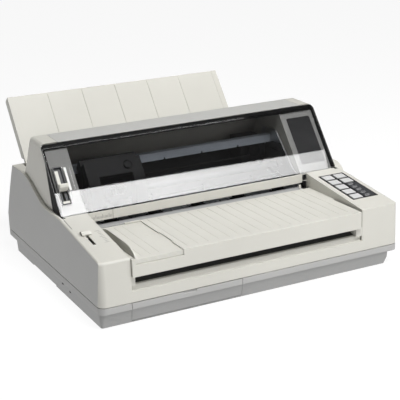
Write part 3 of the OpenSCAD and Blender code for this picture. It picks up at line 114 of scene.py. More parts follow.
def add_camera():
    yaw, pitch, roll = CAMERA_YAW, CAMERA_PITCH, CAMERA_ROLL
    ahead = Vector((math.sin(yaw) * math.cos(pitch), math.cos(yaw) * math.cos(pitch), -math.sin(pitch)))
    right = Vector((math.cos(yaw), -math.sin(yaw), 0))
    up = right.cross(ahead)
    rolled_right = right * math.cos(roll) + up * math.sin(roll)
    rolled_up = up * math.cos(roll) - right * math.sin(roll)
    camera = new_object("camera", bpy.data.cameras.new("camera"))
    camera.data.lens = CAMERA_LENS
    camera.data.sensor_width = 36
    camera.data.clip_start = 0.05
    camera.data.clip_end = 60
    camera.matrix_world = basis(rolled_right, rolled_up, -ahead, CAMERA_EYE)
    bpy.context.scene.camera = camera


def area_light(name, place, side, size, radiance, towards):
    """A rectangular light of the given radiance. Its width runs along side, and it faces a point."""
    data = bpy.data.lights.new(name, "AREA")
    data.shape = "RECTANGLE"
    data.size, data.size_y = size
    data.energy = radiance * math.pi * size[0] * size[1]
    light = new_object(name, data)
    side = side.normalized()
    back = place - towards
    back = (back - back.dot(side) * side).normalized()
    light.matrix_world = basis(side, back.cross(side), back, place)
    return light


def fade_along(light, stops):
    """Dims a light along its width: stops are (place from 0 to 1, share of its radiance)."""
    light.data.use_nodes = True
    tree = light.data.node_tree
    place = tree.nodes.new("ShaderNodeNewGeometry").outputs["Parametric"]
    split = tree.nodes.new("ShaderNodeSeparateXYZ")
    ramp = tree.nodes.new("ShaderNodeValToRGB").color_ramp
    while len(ramp.elements) < len(stops):
        ramp.elements.new(0.5)
    for element, (where, share) in zip(ramp.elements, stops):
        element.position = where
        element.color = (share, share, share, 1)
    shown = next(n for n in tree.nodes if n.type == "VALTORGB")
    emission = next(n for n in tree.nodes if n.type == "EMISSION")
    tree.links.new(place, split.inputs[0])
    tree.links.new(split.outputs[0], shown.inputs[0])
    tree.links.new(shown.outputs[0], emission.inputs["Strength"])


def add_world(strength):
    world = bpy.data.worlds.new("studio")
    world.use_nodes = True
    world.node_tree.nodes["Background"].inputs["Color"].default_value = (1, 1, 1, 1)
    world.node_tree.nodes["Background"].inputs["Strength"].default_value = strength
    bpy.context.scene.world = world


# ---------- Materials ----------


class Shader:
    """A material's node tree, built a node at a time."""

    def __init__(self, name):
        self.material = bpy.data.materials.new(name)
        self.material.use_nodes = True
        self.tree = self.material.node_tree
        self.surface = self.tree.nodes["Principled BSDF"]
        self.place = self.tree.nodes.new("ShaderNodeTexCoord").outputs["Object"]

    def node(self, kind, inputs=None, **settings):
        made = self.tree.nodes.new("ShaderNode" + kind)
        for key, value in settings.items():
            setattr(made, key, value)
        for key, value in (inputs or {}).items():
            self.put(made.inputs[key], value)
        return made

    def put(self, socket, value):
        if isinstance(value, bpy.types.NodeSocket):
            self.tree.links.new(value, socket)
        else:
            socket.default_value = value

    def set(self, **inputs):
        for key, value in inputs.items():
            self.put(self.surface.inputs[key.replace("_", " ")], value)

    def noise(self, scale, detail=2.0, stretch=None):
        place = self.place
        if stretch:
            place = self.node("Mapping", {"Vector": place, "Scale": stretch}).outputs[0]
        return self.node("TexNoise", {"Vector": place, "Scale": scale, "Detail": detail}).outputs["Fac"]

    def waves(self, scale, distortion, direction):
        inputs = {"Vector": self.place, "Scale": scale, "Distortion": distortion}
        return self.node("TexWave", inputs, bands_direction=direction).outputs["Fac"]

    def ramp(self, value, low, high, start=0.35, end=0.65):
        """Turns a value from start to end into low to high."""
        made = self.node("MapRange", {"Value": value, "From Min": start, "From Max": end,
                                      "To Min": low, "To Max": high})
        return made.outputs["Result"]

    def blend(self, amount, first, second):
        made = self.node("Mix", data_type="RGBA")
        for socket, value in ((0, amount), (6, first), (7, second)):
            self.put(made.inputs[socket], value)
        return made.outputs[2]

    def bump(self, height, distance, strength=1.0):
        made = self.node("Bump", {"Height": height, "Distance": distance, "Strength": strength})
        self.put(self.surface.inputs["Normal"], made.outputs["Normal"])


def tint(color, factor=1.0):
    return (color[0] * factor, color[1] * factor, color[2] * factor, 1)


def moulded_plastic(name, color, roughness, grain=0.4, depth=0.02, mottle=0.02, specular=0.4):
    """Plastic with a spark-eroded grain, slight flow marks and an uneven tone. Sizes in millimetres."""
    shader = Shader(name)
    tone = shader.ramp(shader.noise(9.0, 3.0), 0.0, 1.0)
    base = shader.blend(tone, tint(color, 1 - mottle), tint(color, 1 + mottle))
    streak = shader.ramp(shader.noise(60.0, 2.0, (1.0, 0.35, 1.0)), 0.0, 0.35)
    base = shader.blend(streak, base, tint(color, 1 - mottle / 2))
    pits = shader.noise(1.0 / (grain * MM), 2.0)
    shader.set(Base_Color=base, Roughness=shader.ramp(pits, roughness - 0.06, roughness + 0.06),
               IOR=1.5, Specular_IOR_Level=specular)
    shader.bump(pits, depth * MM, 0.6)
    return shader.material


def metal(name, color, roughness, brushed=(1.0, 1.0, 1.0), scale=400.0, metallic=1.0):
    """Metal whose polish varies along fine lines; brushed is the stretch of those lines."""
    shader = Shader(name)
    lines = shader.noise(scale, 3.0, brushed)
    tone = shader.ramp(shader.noise(12.0, 3.0), 0.0, 1.0)
    shader.set(Base_Color=shader.blend(tone, tint(color, 0.93), tint(color, 1.05)), Metallic=metallic,
               Roughness=shader.ramp(lines, roughness - 0.08, roughness + 0.1))
    shader.bump(lines, 0.006 * MM, 0.4)
    return shader.material


def soft_rubber(name, color, roughness, grain):
    """Matt rubber with a little dust in its tone. The grain is in millimetres."""
    shader = Shader(name)
    dust = shader.ramp(shader.noise(40.0, 4.0), 0.0, 1.0)
    fine = shader.noise(1.0 / (grain * MM), 3.0)
    shader.set(Base_Color=shader.blend(dust, tint(color), tint(color, 1.5)),
               Roughness=shader.ramp(fine, roughness - 0.1, roughness + 0.08), Specular_IOR_Level=0.3)
    shader.bump(fine, 0.03 * MM, 0.7)
    return shader.material


def smoked_glass(name, color, ior=1.5, roughness=0.011):
    """Thin clear plastic: tinted where light passes, bright where it mirrors."""
    shader = Shader(name)
    smear = shader.ramp(shader.noise(14.0, 3.0), roughness, roughness * 1.5)
    clear = shader.node("BsdfTransparent", {"Color": tint(color)})
    mirror = shader.node("BsdfGlossy", {"Color": (1, 1, 1, 1), "Roughness": smear})
    part = shader.node("Fresnel", {"IOR": ior})
    mixed = shader.node("MixShader", {0: part.outputs[0], 1: clear.outputs[0], 2: mirror.outputs[0]})
    output = next(n for n in shader.tree.nodes if n.type == "OUTPUT_MATERIAL")
    shader.put(output.inputs["Surface"], mixed.outputs[0])
    shader.tree.nodes.remove(shader.surface)
    return shader.material


def circuit_board(name):
    """Green solder mask over faint tracks."""
    shader = Shader(name)
    tracks = shader.node("TexBrick", {"Vector": shader.place, "Color1": (0.012, 0.075, 0.03, 1),
                                      "Color2": (0.016, 0.10, 0.04, 1), "Mortar": (0.03, 0.17, 0.07, 1),
                                      "Scale": 90.0, "Mortar Size": 0.012})
    shader.set(Base_Color=tracks.outputs["Color"], Roughness=shader.ramp(shader.noise(200.0), 0.25, 0.4))
    return shader.material


def open_foam(name, color):
    """Foam with open cells of about a millimetre."""
    shader = Shader(name)
    cells = shader.node("TexVoronoi", {"Vector": shader.place, "Scale": 900.0}).outputs["Distance"]
    tone = shader.ramp(cells, 0.0, 1.0, 0.1, 0.6)
    shader.set(Base_Color=shader.blend(tone, tint(color, 0.4), tint(color, 1.4)), Roughness=0.95,
               Specular_IOR_Level=0.1)
    shader.bump(cells, 0.4 * MM, 0.8)
    return shader.material


def laminations(name, color):
    """Varnished steel sheets stacked along Y."""
    shader = Shader(name)
    sheets = shader.waves(320.0, 0.4, "Y")
    shader.set(Base_Color=shader.blend(sheets, tint(color, 0.6), tint(color, 1.1)), Metallic=0.8,
               Roughness=shader.ramp(shader.noise(60.0), 0.35, 0.5))
    shader.bump(sheets, 0.05 * MM, 0.6)
    return shader.material


def wire_coil(name, color):
    """Turns of enamelled wire, one above the other."""
    shader = Shader(name)
    turns = shader.waves(500.0, 0.2, "Z")
    shader.set(Base_Color=shader.blend(turns, tint(color, 0.5), tint(color)), Metallic=0.9,
               Roughness=shader.ramp(shader.noise(80.0), 0.3, 0.42))
    shader.bump(turns, 0.1 * MM, 0.8)
    return shader.material


def flat_colour(name, color, roughness=0.55):
    """A flat colour, slightly worn: ink, a painted label, or a painted shade line."""
    shader = Shader(name)
    worn = shader.ramp(shader.noise(300.0, 4.0), 0.0, 1.0)
    shader.set(Base_Color=shader.blend(worn, tint(color), tint(color, 0.88)),
               Roughness=shader.ramp(shader.noise(900.0), roughness - 0.05, roughness + 0.05))
    return shader.material


CREAM = (0.615, 0.605, 0.555)
SLOTS = {
    "case_cream": moulded_plastic("case_cream", CREAM, 0.5),
    # case_low is darker than the cream: painted shade of the lower case and its band near the floor.
    "case_low": moulded_plastic("case_low", (0.425, 0.423, 0.415), 0.5),
    "support_cream": moulded_plastic("support_cream", (0.60, 0.59, 0.54), 0.55),
    "black_plastic": moulded_plastic("black_plastic", (0.012, 0.012, 0.013), 0.38, 0.3, 0.012, 0.1),
    "dark_plastic": moulded_plastic("dark_plastic", (0.045, 0.046, 0.05), 0.45, 0.3, 0.012, 0.08),
    "grey_key": moulded_plastic("grey_key", (0.60, 0.60, 0.595), 0.42, 0.25, 0.008),
    "smoked_window": smoked_glass("smoked_window", (0.82, 0.82, 0.82)),
    "foam": open_foam("foam", (0.04, 0.04, 0.042)),
    "steel": metal("steel", (0.56, 0.57, 0.58), 0.34, (1.0, 0.08, 1.0)),
    "rail_steel": metal("rail_steel", (0.50, 0.55, 0.62), 0.38, (0.05, 1.0, 1.0), 400.0, 0.3),
    "black_rubber": soft_rubber("black_rubber", (0.016, 0.016, 0.016), 0.6, 0.15),
    "nylon": moulded_plastic("nylon", (0.15, 0.15, 0.145), 0.4, 0.5, 0.006),
    "motor_black": moulded_plastic("motor_black", (0.02, 0.02, 0.022), 0.42, 0.2, 0.01, 0.1),
    "board_green": circuit_board("board_green"),
    "core_steel": laminations("core_steel", (0.30, 0.31, 0.32)),
}
COPPER = wire_coil("copper_wire", (0.62, 0.27, 0.12))
WHITE_INK = flat_colour("white_ink", (0.75, 0.75, 0.73))
DARK_LINES = flat_colour("dark_lines", (0.11, 0.11, 0.11))
FAINT_INK = flat_colour("faint_ink", (0.75, 0.75, 0.75))
LABEL_BLACK = flat_colour("label_black", (0.012, 0.012, 0.014), 0.35)
FRAME_BLACK = moulded_plastic("frame_black", (0.006, 0.006, 0.006), 0.5, 0.3, 0.006, 0.1, 0.04)
# Painted shade: darker copies of the lower case's grey for the tub's front and sides, which lean in
# under the case.
SHADED_TUB_FRONT = moulded_plastic("shaded_tub_front", (0.335, 0.335, 0.33), 0.5)
SHADED_TUB_SIDE = moulded_plastic("tub_side", (0.37, 0.37, 0.365), 0.5)
# The case's outer sides: the neutral grey is their own, the darkness against the cream is painted shade.
SIDE_GREY_AND_SHADE = moulded_plastic("side_grey_and_shade", (0.46, 0.46, 0.45), 0.5)
# Painted shade: the towers' faces behind the smoked window, darker than the cream for the dimming of
# light that passes the window twice.
TOWER_SHADE_GREY = moulded_plastic("tower_shade_grey", (0.41, 0.41, 0.40), 0.5)
# The parts inside the hood are black; this copy is darker than black plastic as painted shade.
INSIDE_SHADE_BLACK = moulded_plastic("inside_shade_black", (0.010, 0.010, 0.011), 0.5, 0.3, 0.012, 0.1, 0.2)
# Painted shade: the slot's floor under the table's front, near-black as in shadow.
SLOT_SHADE = moulded_plastic("slot_shade", (0.07, 0.07, 0.068), 0.5, 0.3, 0.012, 0.1, 0.2)
# A cream darker than the case's, for the top cover.
HOOD_CREAM = moulded_plastic("hood_cream", (0.53, 0.53, 0.51), 0.5)
# Painted shade: darker, duller copies of rubber and steel for the rollers and shafts inside the hood.
INSIDE_SHADE_RUBBER = soft_rubber("inside_shade_rubber", (0.012, 0.012, 0.012), 0.75, 0.15)
INSIDE_SHADE_STEEL = metal("inside_shade_steel", (0.11, 0.115, 0.12), 0.62, (1.0, 0.08, 1.0))
# Painted shade: the grey of cream plastic in shadow, for the plate behind the table.
BAND_SHADE_GREY = moulded_plastic("band_shade_grey", (0.36, 0.36, 0.36), 0.5)

# ---------- Softened copies of CAD pieces ----------

SHARP = math.radians(28)            # an edge that turns more than this is an edge of the moulding
SAME_PLACE = 0.002 * MM             # corners nearer than this are one
SAME_PLANE = math.radians(0.3)      # faces that turn less than this are one
LEAST_ROUNDING = 0.08 * MM          # a smaller rounding is left out
LARGE_ROUNDING, LARGE_SEGMENTS, SMALL_SEGMENTS = 8, 5, 2
ROUNDING_TRIES = 5                  # where roundings fold, they get smaller, and go at the last try
SMALLER_SHARE = 0.6
FOLD_REACH = 1.3                    # in rounding radii, from a fold to the edges that it shrinks
FOLD_SHARE, FOLD_AREA = 0.02, 0.15 * MM * MM    # a face whose area is off by more is folded
TURN_BACK = -0.7                    # the cosine at which an outline turns back
ROOM_SHARE, LEAST_SLOPE = 0.45, 0.35    # of a neighbour's length; flatter neighbours don't count
KEY_SHARE = 0.89                    # a key's cap against its cell


def simplified(bm):
    """Joins the corners and faces that a boolean or a triangulation has split."""
    bmesh.ops.remove_doubles(bm, verts=bm.verts, dist=SAME_PLACE)
    bmesh.ops.dissolve_limit(bm, angle_limit=SAME_PLANE, verts=bm.verts, edges=bm.edges)
    return bm


def merged(node):
    """A copy of a node's mesh as bmesh, with its split faces joined again."""
    bm = bmesh.new()
    bm.from_mesh(frame["nodes"][node].data)
    return simplified(bm)


def is_sharp(edge):
    return edge.is_manifold and edge.calc_face_angle(0) > SHARP


def room(edge):
    """How wide a rounding the faces beside an edge leave room for, in metres."""
    limit = 1.0
    along = (edge.verts[1].co - edge.verts[0].co).normalized()
    for face in edge.link_faces:
        for vert in edge.verts:
            for other in vert.link_edges:
                if other is edge or face not in other.link_faces:
                    continue
                way = other.verts[1].co - other.verts[0].co
                across = (way - way.dot(along) * along).length
                if across < LEAST_SLOPE * way.length:
                    continue
                limit = min(limit, ROOM_SHARE * across)
    return limit


def evaluated(mesh, modifiers):
    """The mesh with modifiers applied: (type, settings) pairs."""
    thing = new_object("making", mesh)
    for kind, settings in modifiers:
        modifier = thing.modifiers.new(kind.lower(), kind)
        for key, value in settings.items():
            setattr(modifier, key, value)
    depsgraph = bpy.context.evaluated_depsgraph_get()
    made = bpy.data.meshes.new_from_object(thing.evaluated_get(depsgraph))
    bpy.data.objects.remove(thing)
    return made


def changed(bm, modifiers):
    """The bmesh after modifiers; the one given is freed."""
    mesh = bpy.data.meshes.new("changing")
    bm.to_mesh(mesh)
    bm.free()
    made = bmesh.new()
    made.from_mesh(evaluated(mesh, modifiers))
    return made


def crossings(face):
    """The corners of a face beside which its outline crosses itself or turns back."""
    places = [vert.co for vert in face.verts]
    count = len(places)
    x = (places[1] - places[0]).normalized()
    y = face.normal.cross(x)
    flat = [Vector(((p - places[0]).dot(x), (p - places[0]).dot(y))) for p in places]
    found = set()
    for i in range(count):
        a, b, c = flat[i - 1], flat[i], flat[(i + 1) % count]
        if (b - a).normalized().dot((c - b).normalized()) < TURN_BACK:
            found.add(i)
        for step in range(2, min(8, count - 1)):
            k = (i + step) % count
            c, d = flat[k], flat[(k + 1) % count]
            sides = ((b - a).cross(c - a) * (b - a).cross(d - a),
                     (d - c).cross(a - c) * (d - c).cross(b - c))
            if k != (i - 1) % count and (k + 1) % count != (i - 1) % count and max(sides) < 0:
                found.update((i, (i - 1) % count, k, (k + 1) % count))
    return [places[i].copy() for i in found]


def folded(bm):
    """The corners where faces overlap themselves, because roundings met in them."""
    bm.faces.index_update()
    covered = [0.0] * len(bm.faces)
    for loops in bm.calc_loop_triangles():
        a, b, c = (loop.vert.co for loop in loops)
        covered[loops[0].face.index] += (b - a).cross(c - a).length / 2
    places = []
    for face in bm.faces:
        if abs(covered[face.index] - face.calc_area()) > FOLD_SHARE * face.calc_area() + FOLD_AREA:
            places += crossings(face) or [vert.co.copy() for vert in face.verts]
    return places


def nearest(place, edge):
    start, end = (vert.co for vert in edge.verts)
    share = (place - start).dot(end - start) / max((end - start).length_squared, 1e-12)
    return (start + (end - start) * min(1, max(0, share)) - place).length


def round_edges(bm, radius_of, widest, segments):
    """Rounds sharp edges: radius_of(edge) gives millimetres, up to widest. Less where they'd fold."""
    layers = bm.edges.layers.float
    weights = layers.get("bevel_weight_edge") or layers.new("bevel_weight_edge")
    bevel = ("BEVEL", {"width": widest * MM, "segments": segments, "limit_method": "WEIGHT",
                       "use_clamp_overlap": False, "miter_outer": "MITER_SHARP", "loop_slide": False,
                       "offset_type": "OFFSET"})
    wanted = {}
    for edge in bm.edges:
        radius = min(radius_of(edge) * MM, room(edge)) if is_sharp(edge) else 0
        if radius >= LEAST_ROUNDING:
            wanted[edge.index] = radius
    made = None
    for attempt in range(1, ROUNDING_TRIES + 1):
        bm.edges.ensure_lookup_table()
        for edge in bm.edges:
            edge[weights] = wanted.get(edge.index, 0) / (widest * MM)
        if made:
            made.free()
        made = changed(bm.copy(), [bevel]) if wanted else bm.copy()
        places = folded(made)
        if not places or attempt == ROUNDING_TRIES:
            break
        share = SMALLER_SHARE if attempt < ROUNDING_TRIES - 1 else 0
        for index, radius in list(wanted.items()):
            edge = bm.edges[index]
            if any(nearest(place, edge) < FOLD_REACH * radius for place in places):
                wanted[index] = radius * share
                if wanted[index] < LEAST_ROUNDING:
                    del wanted[index]
    bm.free()
    layer = made.edges.layers.float.get("bevel_weight_edge")
    if layer:
        made.edges.layers.float.remove(layer)
    return made


def swept(path, section, name):
    """A closed solid: a section of (x, depth) points that runs along a path of (y, z) points."""
    bm = bmesh.new()
    rings = []
    for i, point in enumerate(path):
        before = Vector(path[max(i - 1, 0)])
        after = Vector(path[min(i + 1, len(path) - 1)])
        a = (Vector(point) - before).normalized() if i else (after - Vector(point)).normalized()
        b = (after - Vector(point)).normalized() if i < len(path) - 1 else a
        way = (a + b).normalized()
        inward = Vector((way.y, -way.x))
        stretch = 1 / max(0.5, way.dot(a))
        ring = []
        for x, depth in section:
            p = Vector(point) + inward * depth * stretch
            ring.append(bm.verts.new(at(x, p.x, p.y)))
        rings.append(ring)
    for first, second in zip(rings, rings[1:]):
        for k in range(len(section)):
            n = (k + 1) % len(section)
            bm.faces.new((first[k], first[n], second[n], second[k]))
    bm.faces.new(rings[0])
    bm.faces.new(list(reversed(rings[-1])))
    bmesh.ops.recalc_face_normals(bm, faces=bm.faces)
    mesh = bpy.data.meshes.new(name)
    bm.to_mesh(mesh)
    bm.free()
    return mesh


CAP_RADIUS = 7.0
CAP_PATH = [(5.0, 202.5), (21.8, 203.0), (67.1, 204.4), (68.8, 204.3), (70.4, 203.9), (72.0, 203.2),
            (73.3, 202.3), (74.5, 201.2), (75.5, 199.8), (113.2, 141.7)]


def cap_shavers():
    """The material that the rounding of the hood's outer edges takes away, one solid per side."""
    steps = 8
    turns = [i * math.pi / 2 / steps for i in range(steps + 1)]
    arc = [(HOOD_X - CAP_RADIUS + CAP_RADIUS * math.cos(a), CAP_RADIUS - CAP_RADIUS * math.sin(a))
           for a in turns]
    section = [(HOOD_X + 2, CAP_RADIUS)] + arc + [(HOOD_X - CAP_RADIUS, -3), (HOOD_X + 2, -3)]
    return [new_object("shaver", swept(CAP_PATH, [(side * x, depth) for x, depth in section], "shaver"))
            for side in (-1, 1)]


def shaved(bm):
    """The bmesh without what the shavers take away."""
    tools = cap_shavers()
    cut = {"operation": "DIFFERENCE", "solver": "EXACT"}
    bm = changed(bm, [("BOOLEAN", dict(cut, object=tool)) for tool in tools])
    for tool in tools:
        bpy.data.objects.remove(tool)
    return simplified(bm)


def shrink(bm, share):
    """Draws a key's cap in from its neighbours, along the deck."""
    points = [vert.co for vert in bm.verts]
    middle = (Vector(map(min, zip(*points))) + Vector(map(max, zip(*points)))) / 2
    along = Vector((0, math.cos(DECK_ANGLE), math.sin(DECK_ANGLE)))
    for vert in bm.verts:
        off = vert.co - middle
        vert.co -= Vector((off.x, 0, 0)) * (1 - share) + along * off.dot(along) * (1 - share)


def shaded_piece(bm, name, node):
    """Turns a bmesh into a piece that rides where a node rides, smooth but for its sharp edges."""
    for edge in bm.edges:
        edge.smooth = not is_sharp(edge)
    for face in bm.faces:
        face.smooth = True
    mesh = bpy.data.meshes.new(name)
    bm.to_mesh(mesh)
    bm.free()
    piece = new_object(name, mesh)
    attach(piece, frame["nodes"][node]["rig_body"])
    return piece


def softened(node, small, large=None, shave=False):
    """A copy of a node with its outer edges rounded, which stands for it."""
    bm = merged(node)
    if node.startswith("key_"):
        shrink(bm, KEY_SHARE)
    if shave:
        bm = shaved(bm)
    if large:
        bm = round_edges(bm, large, LARGE_ROUNDING, LARGE_SEGMENTS)
    bm = round_edges(bm, lambda edge: small, small, SMALL_SEGMENTS)
    piece = shaded_piece(bm, node + "_skin", node)
    shading = piece.modifiers.new("shading", "WEIGHTED_NORMAL")
    shading.keep_sharp = True
    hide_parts(node)
    return piece


def paint(piece, slot, parts=()):
    """Gives a piece its slot's material, and some faces another: parts are (material, test) pairs.

    A test takes a face's centre in millimetres and its normal.
    """
    mesh = piece.data
    mesh.materials.clear()
    mesh.materials.append(SLOTS[slot])
    for index, (material, test) in enumerate(parts, start=1):
        mesh.materials.append(material)
        for face in mesh.polygons:
            if test(face.center / MM, face.normal):
                face.material_index = index


def rounded_outline(x, y, radius, steps=4):
    """The points of a rectangle with rounded corners."""
    corners = ((x[1] - radius, y[1] - radius), (x[0] + radius, y[1] - radius),
               (x[0] + radius, y[0] + radius), (x[1] - radius, y[0] + radius))
    points = []
    for i, (cx, cy) in enumerate(corners):
        for j in range(steps + 1):
            a = (i + j / steps) * math.pi / 2
            points.append((cx + radius * math.cos(a), cy + radius * math.sin(a)))
    return points


def loft(bm, rings):
    """Joins rings of vertices into a closed skin."""
    for lower, upper in zip(rings, rings[1:]):
        for k in range(len(lower)):
            n = (k + 1) % len(lower)
            bm.faces.new((lower[k], lower[n], upper[n], upper[k]))
    bm.faces.new(rings[-1])
    bm.faces.new(list(reversed(rings[0])))
    bmesh.ops.recalc_face_normals(bm, faces=bm.faces)


def slab(bm, place, x, y, z, corner=0.5, edge=0.1):
    """A plate with rounded corners and a chamfered face, in a frame's millimetres."""
    rings = []
    for inset, height in ((0, z[0]), (0, z[1] - edge), (edge, z[1])):
        outline = rounded_outline((x[0] + inset, x[1] - inset), (y[0] + inset, y[1] - inset),
                                  max(corner - inset, 0.02))
        rings.append([bm.verts.new(place @ at(px, py, height)) for px, py in outline])
    loft(bm, rings)


def detail(bm, name, node, material, slot=None):
    """Turns a bmesh into a piece of one material."""
    piece = shaded_piece(bm, name, node)
    piece.data.materials.append(material)
    return piece


def digits(bm, place, rows, size):
    """Small numerals standing on a frame: rows are (text, x, y) in millimetres."""
    for text, x, y in rows:
        curve = bpy.data.curves.new("numeral", "FONT")
        curve.body = text
        curve.size = size * MM
        curve.extrude = 0.03 * MM
        curve.align_x = "CENTER"
        thing = new_object("numeral", curve)
        thing.matrix_world = place @ Matrix.Translation(at(x, y, 0))
        bpy.context.view_layer.update()
        depsgraph = bpy.context.evaluated_depsgraph_get()
        mesh = bpy.data.meshes.new_from_object(thing.evaluated_get(depsgraph))
        mesh.transform(thing.matrix_world)
        bm.from_mesh(mesh)
        bpy.data.objects.remove(thing)


# Along the knob's axis: (distance from its inner face, radius, share of the grooves' depth)
KNOB_PROFILE = [(0, 28.9, 0), (0.9, 30, 1), (15.6, 30, 1), (16.6, 29.6, 0.8), (17.3, 28.8, 0.4),
                (17.8, 27.6, 0), (18, 26.4, 0), (18, 24, 0), (17.6, 23.2, 0), (14.4, 22.8, 0),
                (14.1, 21.5, 0), (14.1, 8, 0)]
GROOVE_RADIUS, GROOVE_OUTSIDE = 1.1, 0.5    # a groove's bottom, and how far out its centre lies
STEPS_PER_RIB = 8


def ribbed_knob():
    """The platen knob: ribs round its rim, a rounded outer edge and a dished face."""
    bm = bmesh.new()
    pitch = 2 * math.pi * KNOB_RADIUS / KNOB_RIBS
    rings = []
    for x, radius, share in KNOB_PROFILE:
        ring = []
        for k in range(KNOB_RIBS * STEPS_PER_RIB):
            place = k % STEPS_PER_RIB / STEPS_PER_RIB
            off = min(place, 1 - place) * pitch
            depth = max(0, math.sqrt(max(0, GROOVE_RADIUS ** 2 - off ** 2)) - GROOVE_OUTSIDE)
            r = radius - share * depth
            a = 2 * math.pi * k / (KNOB_RIBS * STEPS_PER_RIB)
            y, z = KNOB_CENTRE[0] + r * math.cos(a), KNOB_CENTRE[1] + r * math.sin(a)
            ring.append(bm.verts.new(at(KNOB_INNER_X + x, y, z)))
        rings.append(ring)
    loft(bm, rings)
    piece = detail(bm, "platen_knob_skin", "platen_knob", SLOTS["case_cream"], "case_cream")
    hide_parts("platen_knob")


def middle_of(edge):
    return (edge.verts[0].co + edge.verts[1].co) / 2 / MM


# The case's top side edges: along the hood, the decks and the rear slope
SIDE_ROUNDING, DECK_ROUNDING, BACK_ROUNDING = 3.4, 6, 1.2
FRONT_ROUNDING, CORNER_ROUNDING = 3.5, 2.5      # the decks' front edges, and what their corners add
SIDE_X = 228                        # the case's sides lie beyond this
BACK_Y = 160                        # the rear slope lies beyond this
FRONT_Y, FRONT_Z, DECK_X = -185, 88, 186        # the decks' front edges lie beyond these


def case_radius(edge):
    """The rounding of the upper case: wide along the outside, none at the decks' inner edges."""
    middle = middle_of(edge)
    first, second = (face.normal for face in edge.link_faces)
    if not edge.is_convex:
        return 0
    side, top = sorted((first, second), key=lambda n: -abs(n.x))
    outside = abs(side.x) > 0.9 and abs(middle.x) > SIDE_X and side.x * middle.x > 0
    if outside and abs(top.x) < 0.3 and max(top.y, top.z) > 0.2:
        if middle.y < DECK_Y - 4:
            return DECK_ROUNDING
        return SIDE_ROUNDING if middle.y < BACK_Y else BACK_ROUNDING
    if middle.y < FRONT_Y and middle.z > FRONT_Z and abs(middle.x) > DECK_X:
        up, wall = sorted((first, second), key=lambda n: -n.z)
        if up.z > 0.9 and (wall.y < -0.1 or abs(wall.x) > 0.1):
            return FRONT_ROUNDING + CORNER_ROUNDING * abs(wall.x)
    return 0


def table_radius(edge):
    """The table's front top edge is rounder than the rest."""
    middle = middle_of(edge)
    front = middle.y < -200 and middle.z > 90 and edge.calc_length() > 20 * MM
    return 1.8 if edge.is_convex and front else 0


WINDOW_NORMAL = Vector((0, -math.sin(WINDOW_ANGLE), math.cos(WINDOW_ANGLE)))
TUB_TOP = 21.5                      # the tub's faces lie below this, the band's above


def everywhere(centre, normal):
    return True


def up_window(centre):
    """How far up the window's slope a place is."""
    y, z = centre.y - WINDOW_Y, centre.z - WINDOW_Z
    return y * math.cos(WINDOW_ANGLE) + z * math.sin(WINDOW_ANGLE)


# The towers' faces behind the window take the painted shade.
def case_towers(c, n):
    return n.dot(WINDOW_NORMAL) > 0.99 and c.y > DECK_Y and 115 < c.z < 195


# The outer sides of the case's body take the painted shade.
def case_sides(c, n):
    return abs(n.x) > 0.97 and abs(c.x) > 226 and c.z < 105


# The slot's floor under the table's front takes the painted shade.
def slot_floor(c, n):
    return n.z > 0.93 and n.y < -0.2 and -192 < c.y < -178 and c.z < 60


def bezel_foot(c, n):
    return -217.7 < c.x < -206.9 and n.dot(WINDOW_NORMAL) > 0.5 and 18.8 < up_window(c) < 23.2


def board_top(c, n):
    return c.z > 13.3


def board_connectors(c, n):
    return c.z > 13.3 and c.x >= 130


def winding(c, n):
    return abs(c.x + 130) < 22.5 and not 99.9 <= c.y <= 148.1 and c.z > 19


# The tub's walls below TUB_TOP take the painted shade copies.
TUB_PARTS = [(SHADED_TUB_SIDE, lambda c, n: c.z < TUB_TOP and abs(n.x) > 0.5),
             (SHADED_TUB_FRONT, lambda c, n: c.z < TUB_TOP and abs(n.y) > 0.5)]
# What differs from a piece's slot: (material, test), where a later one goes over an earlier one
PARTS = {
    "upper_case": [(TOWER_SHADE_GREY, case_towers), (SIDE_GREY_AND_SHADE, case_sides), (SLOT_SHADE, slot_floor)],
    "lower_case": TUB_PARTS, "front_flap": TUB_PARTS,
    "window_frame": [(FRAME_BLACK, everywhere)], "top_cover": [(HOOD_CREAM, everywhere)],
    "lever_bezel": [(SLOTS["case_cream"], bezel_foot)],
    "main_board": [(SLOTS["black_plastic"], board_top), (SLOTS["steel"], board_connectors)],
    "transformer": [(COPPER, winding)],
}
# The parts inside the hood take the painted shade copies of their materials.
for material, nodes in ((INSIDE_SHADE_BLACK, "carriage print_head ribbon_cartridge drive_pulley idler_pulley"),
                        (INSIDE_SHADE_RUBBER, "platen pinch_roller bail_rollers feed_roller"),
                        (INSIDE_SHADE_STEEL, "platen_shaft guide_shaft paper_bail")):
    for node in nodes.split():
        PARTS[node] = [(material, everywhere)]
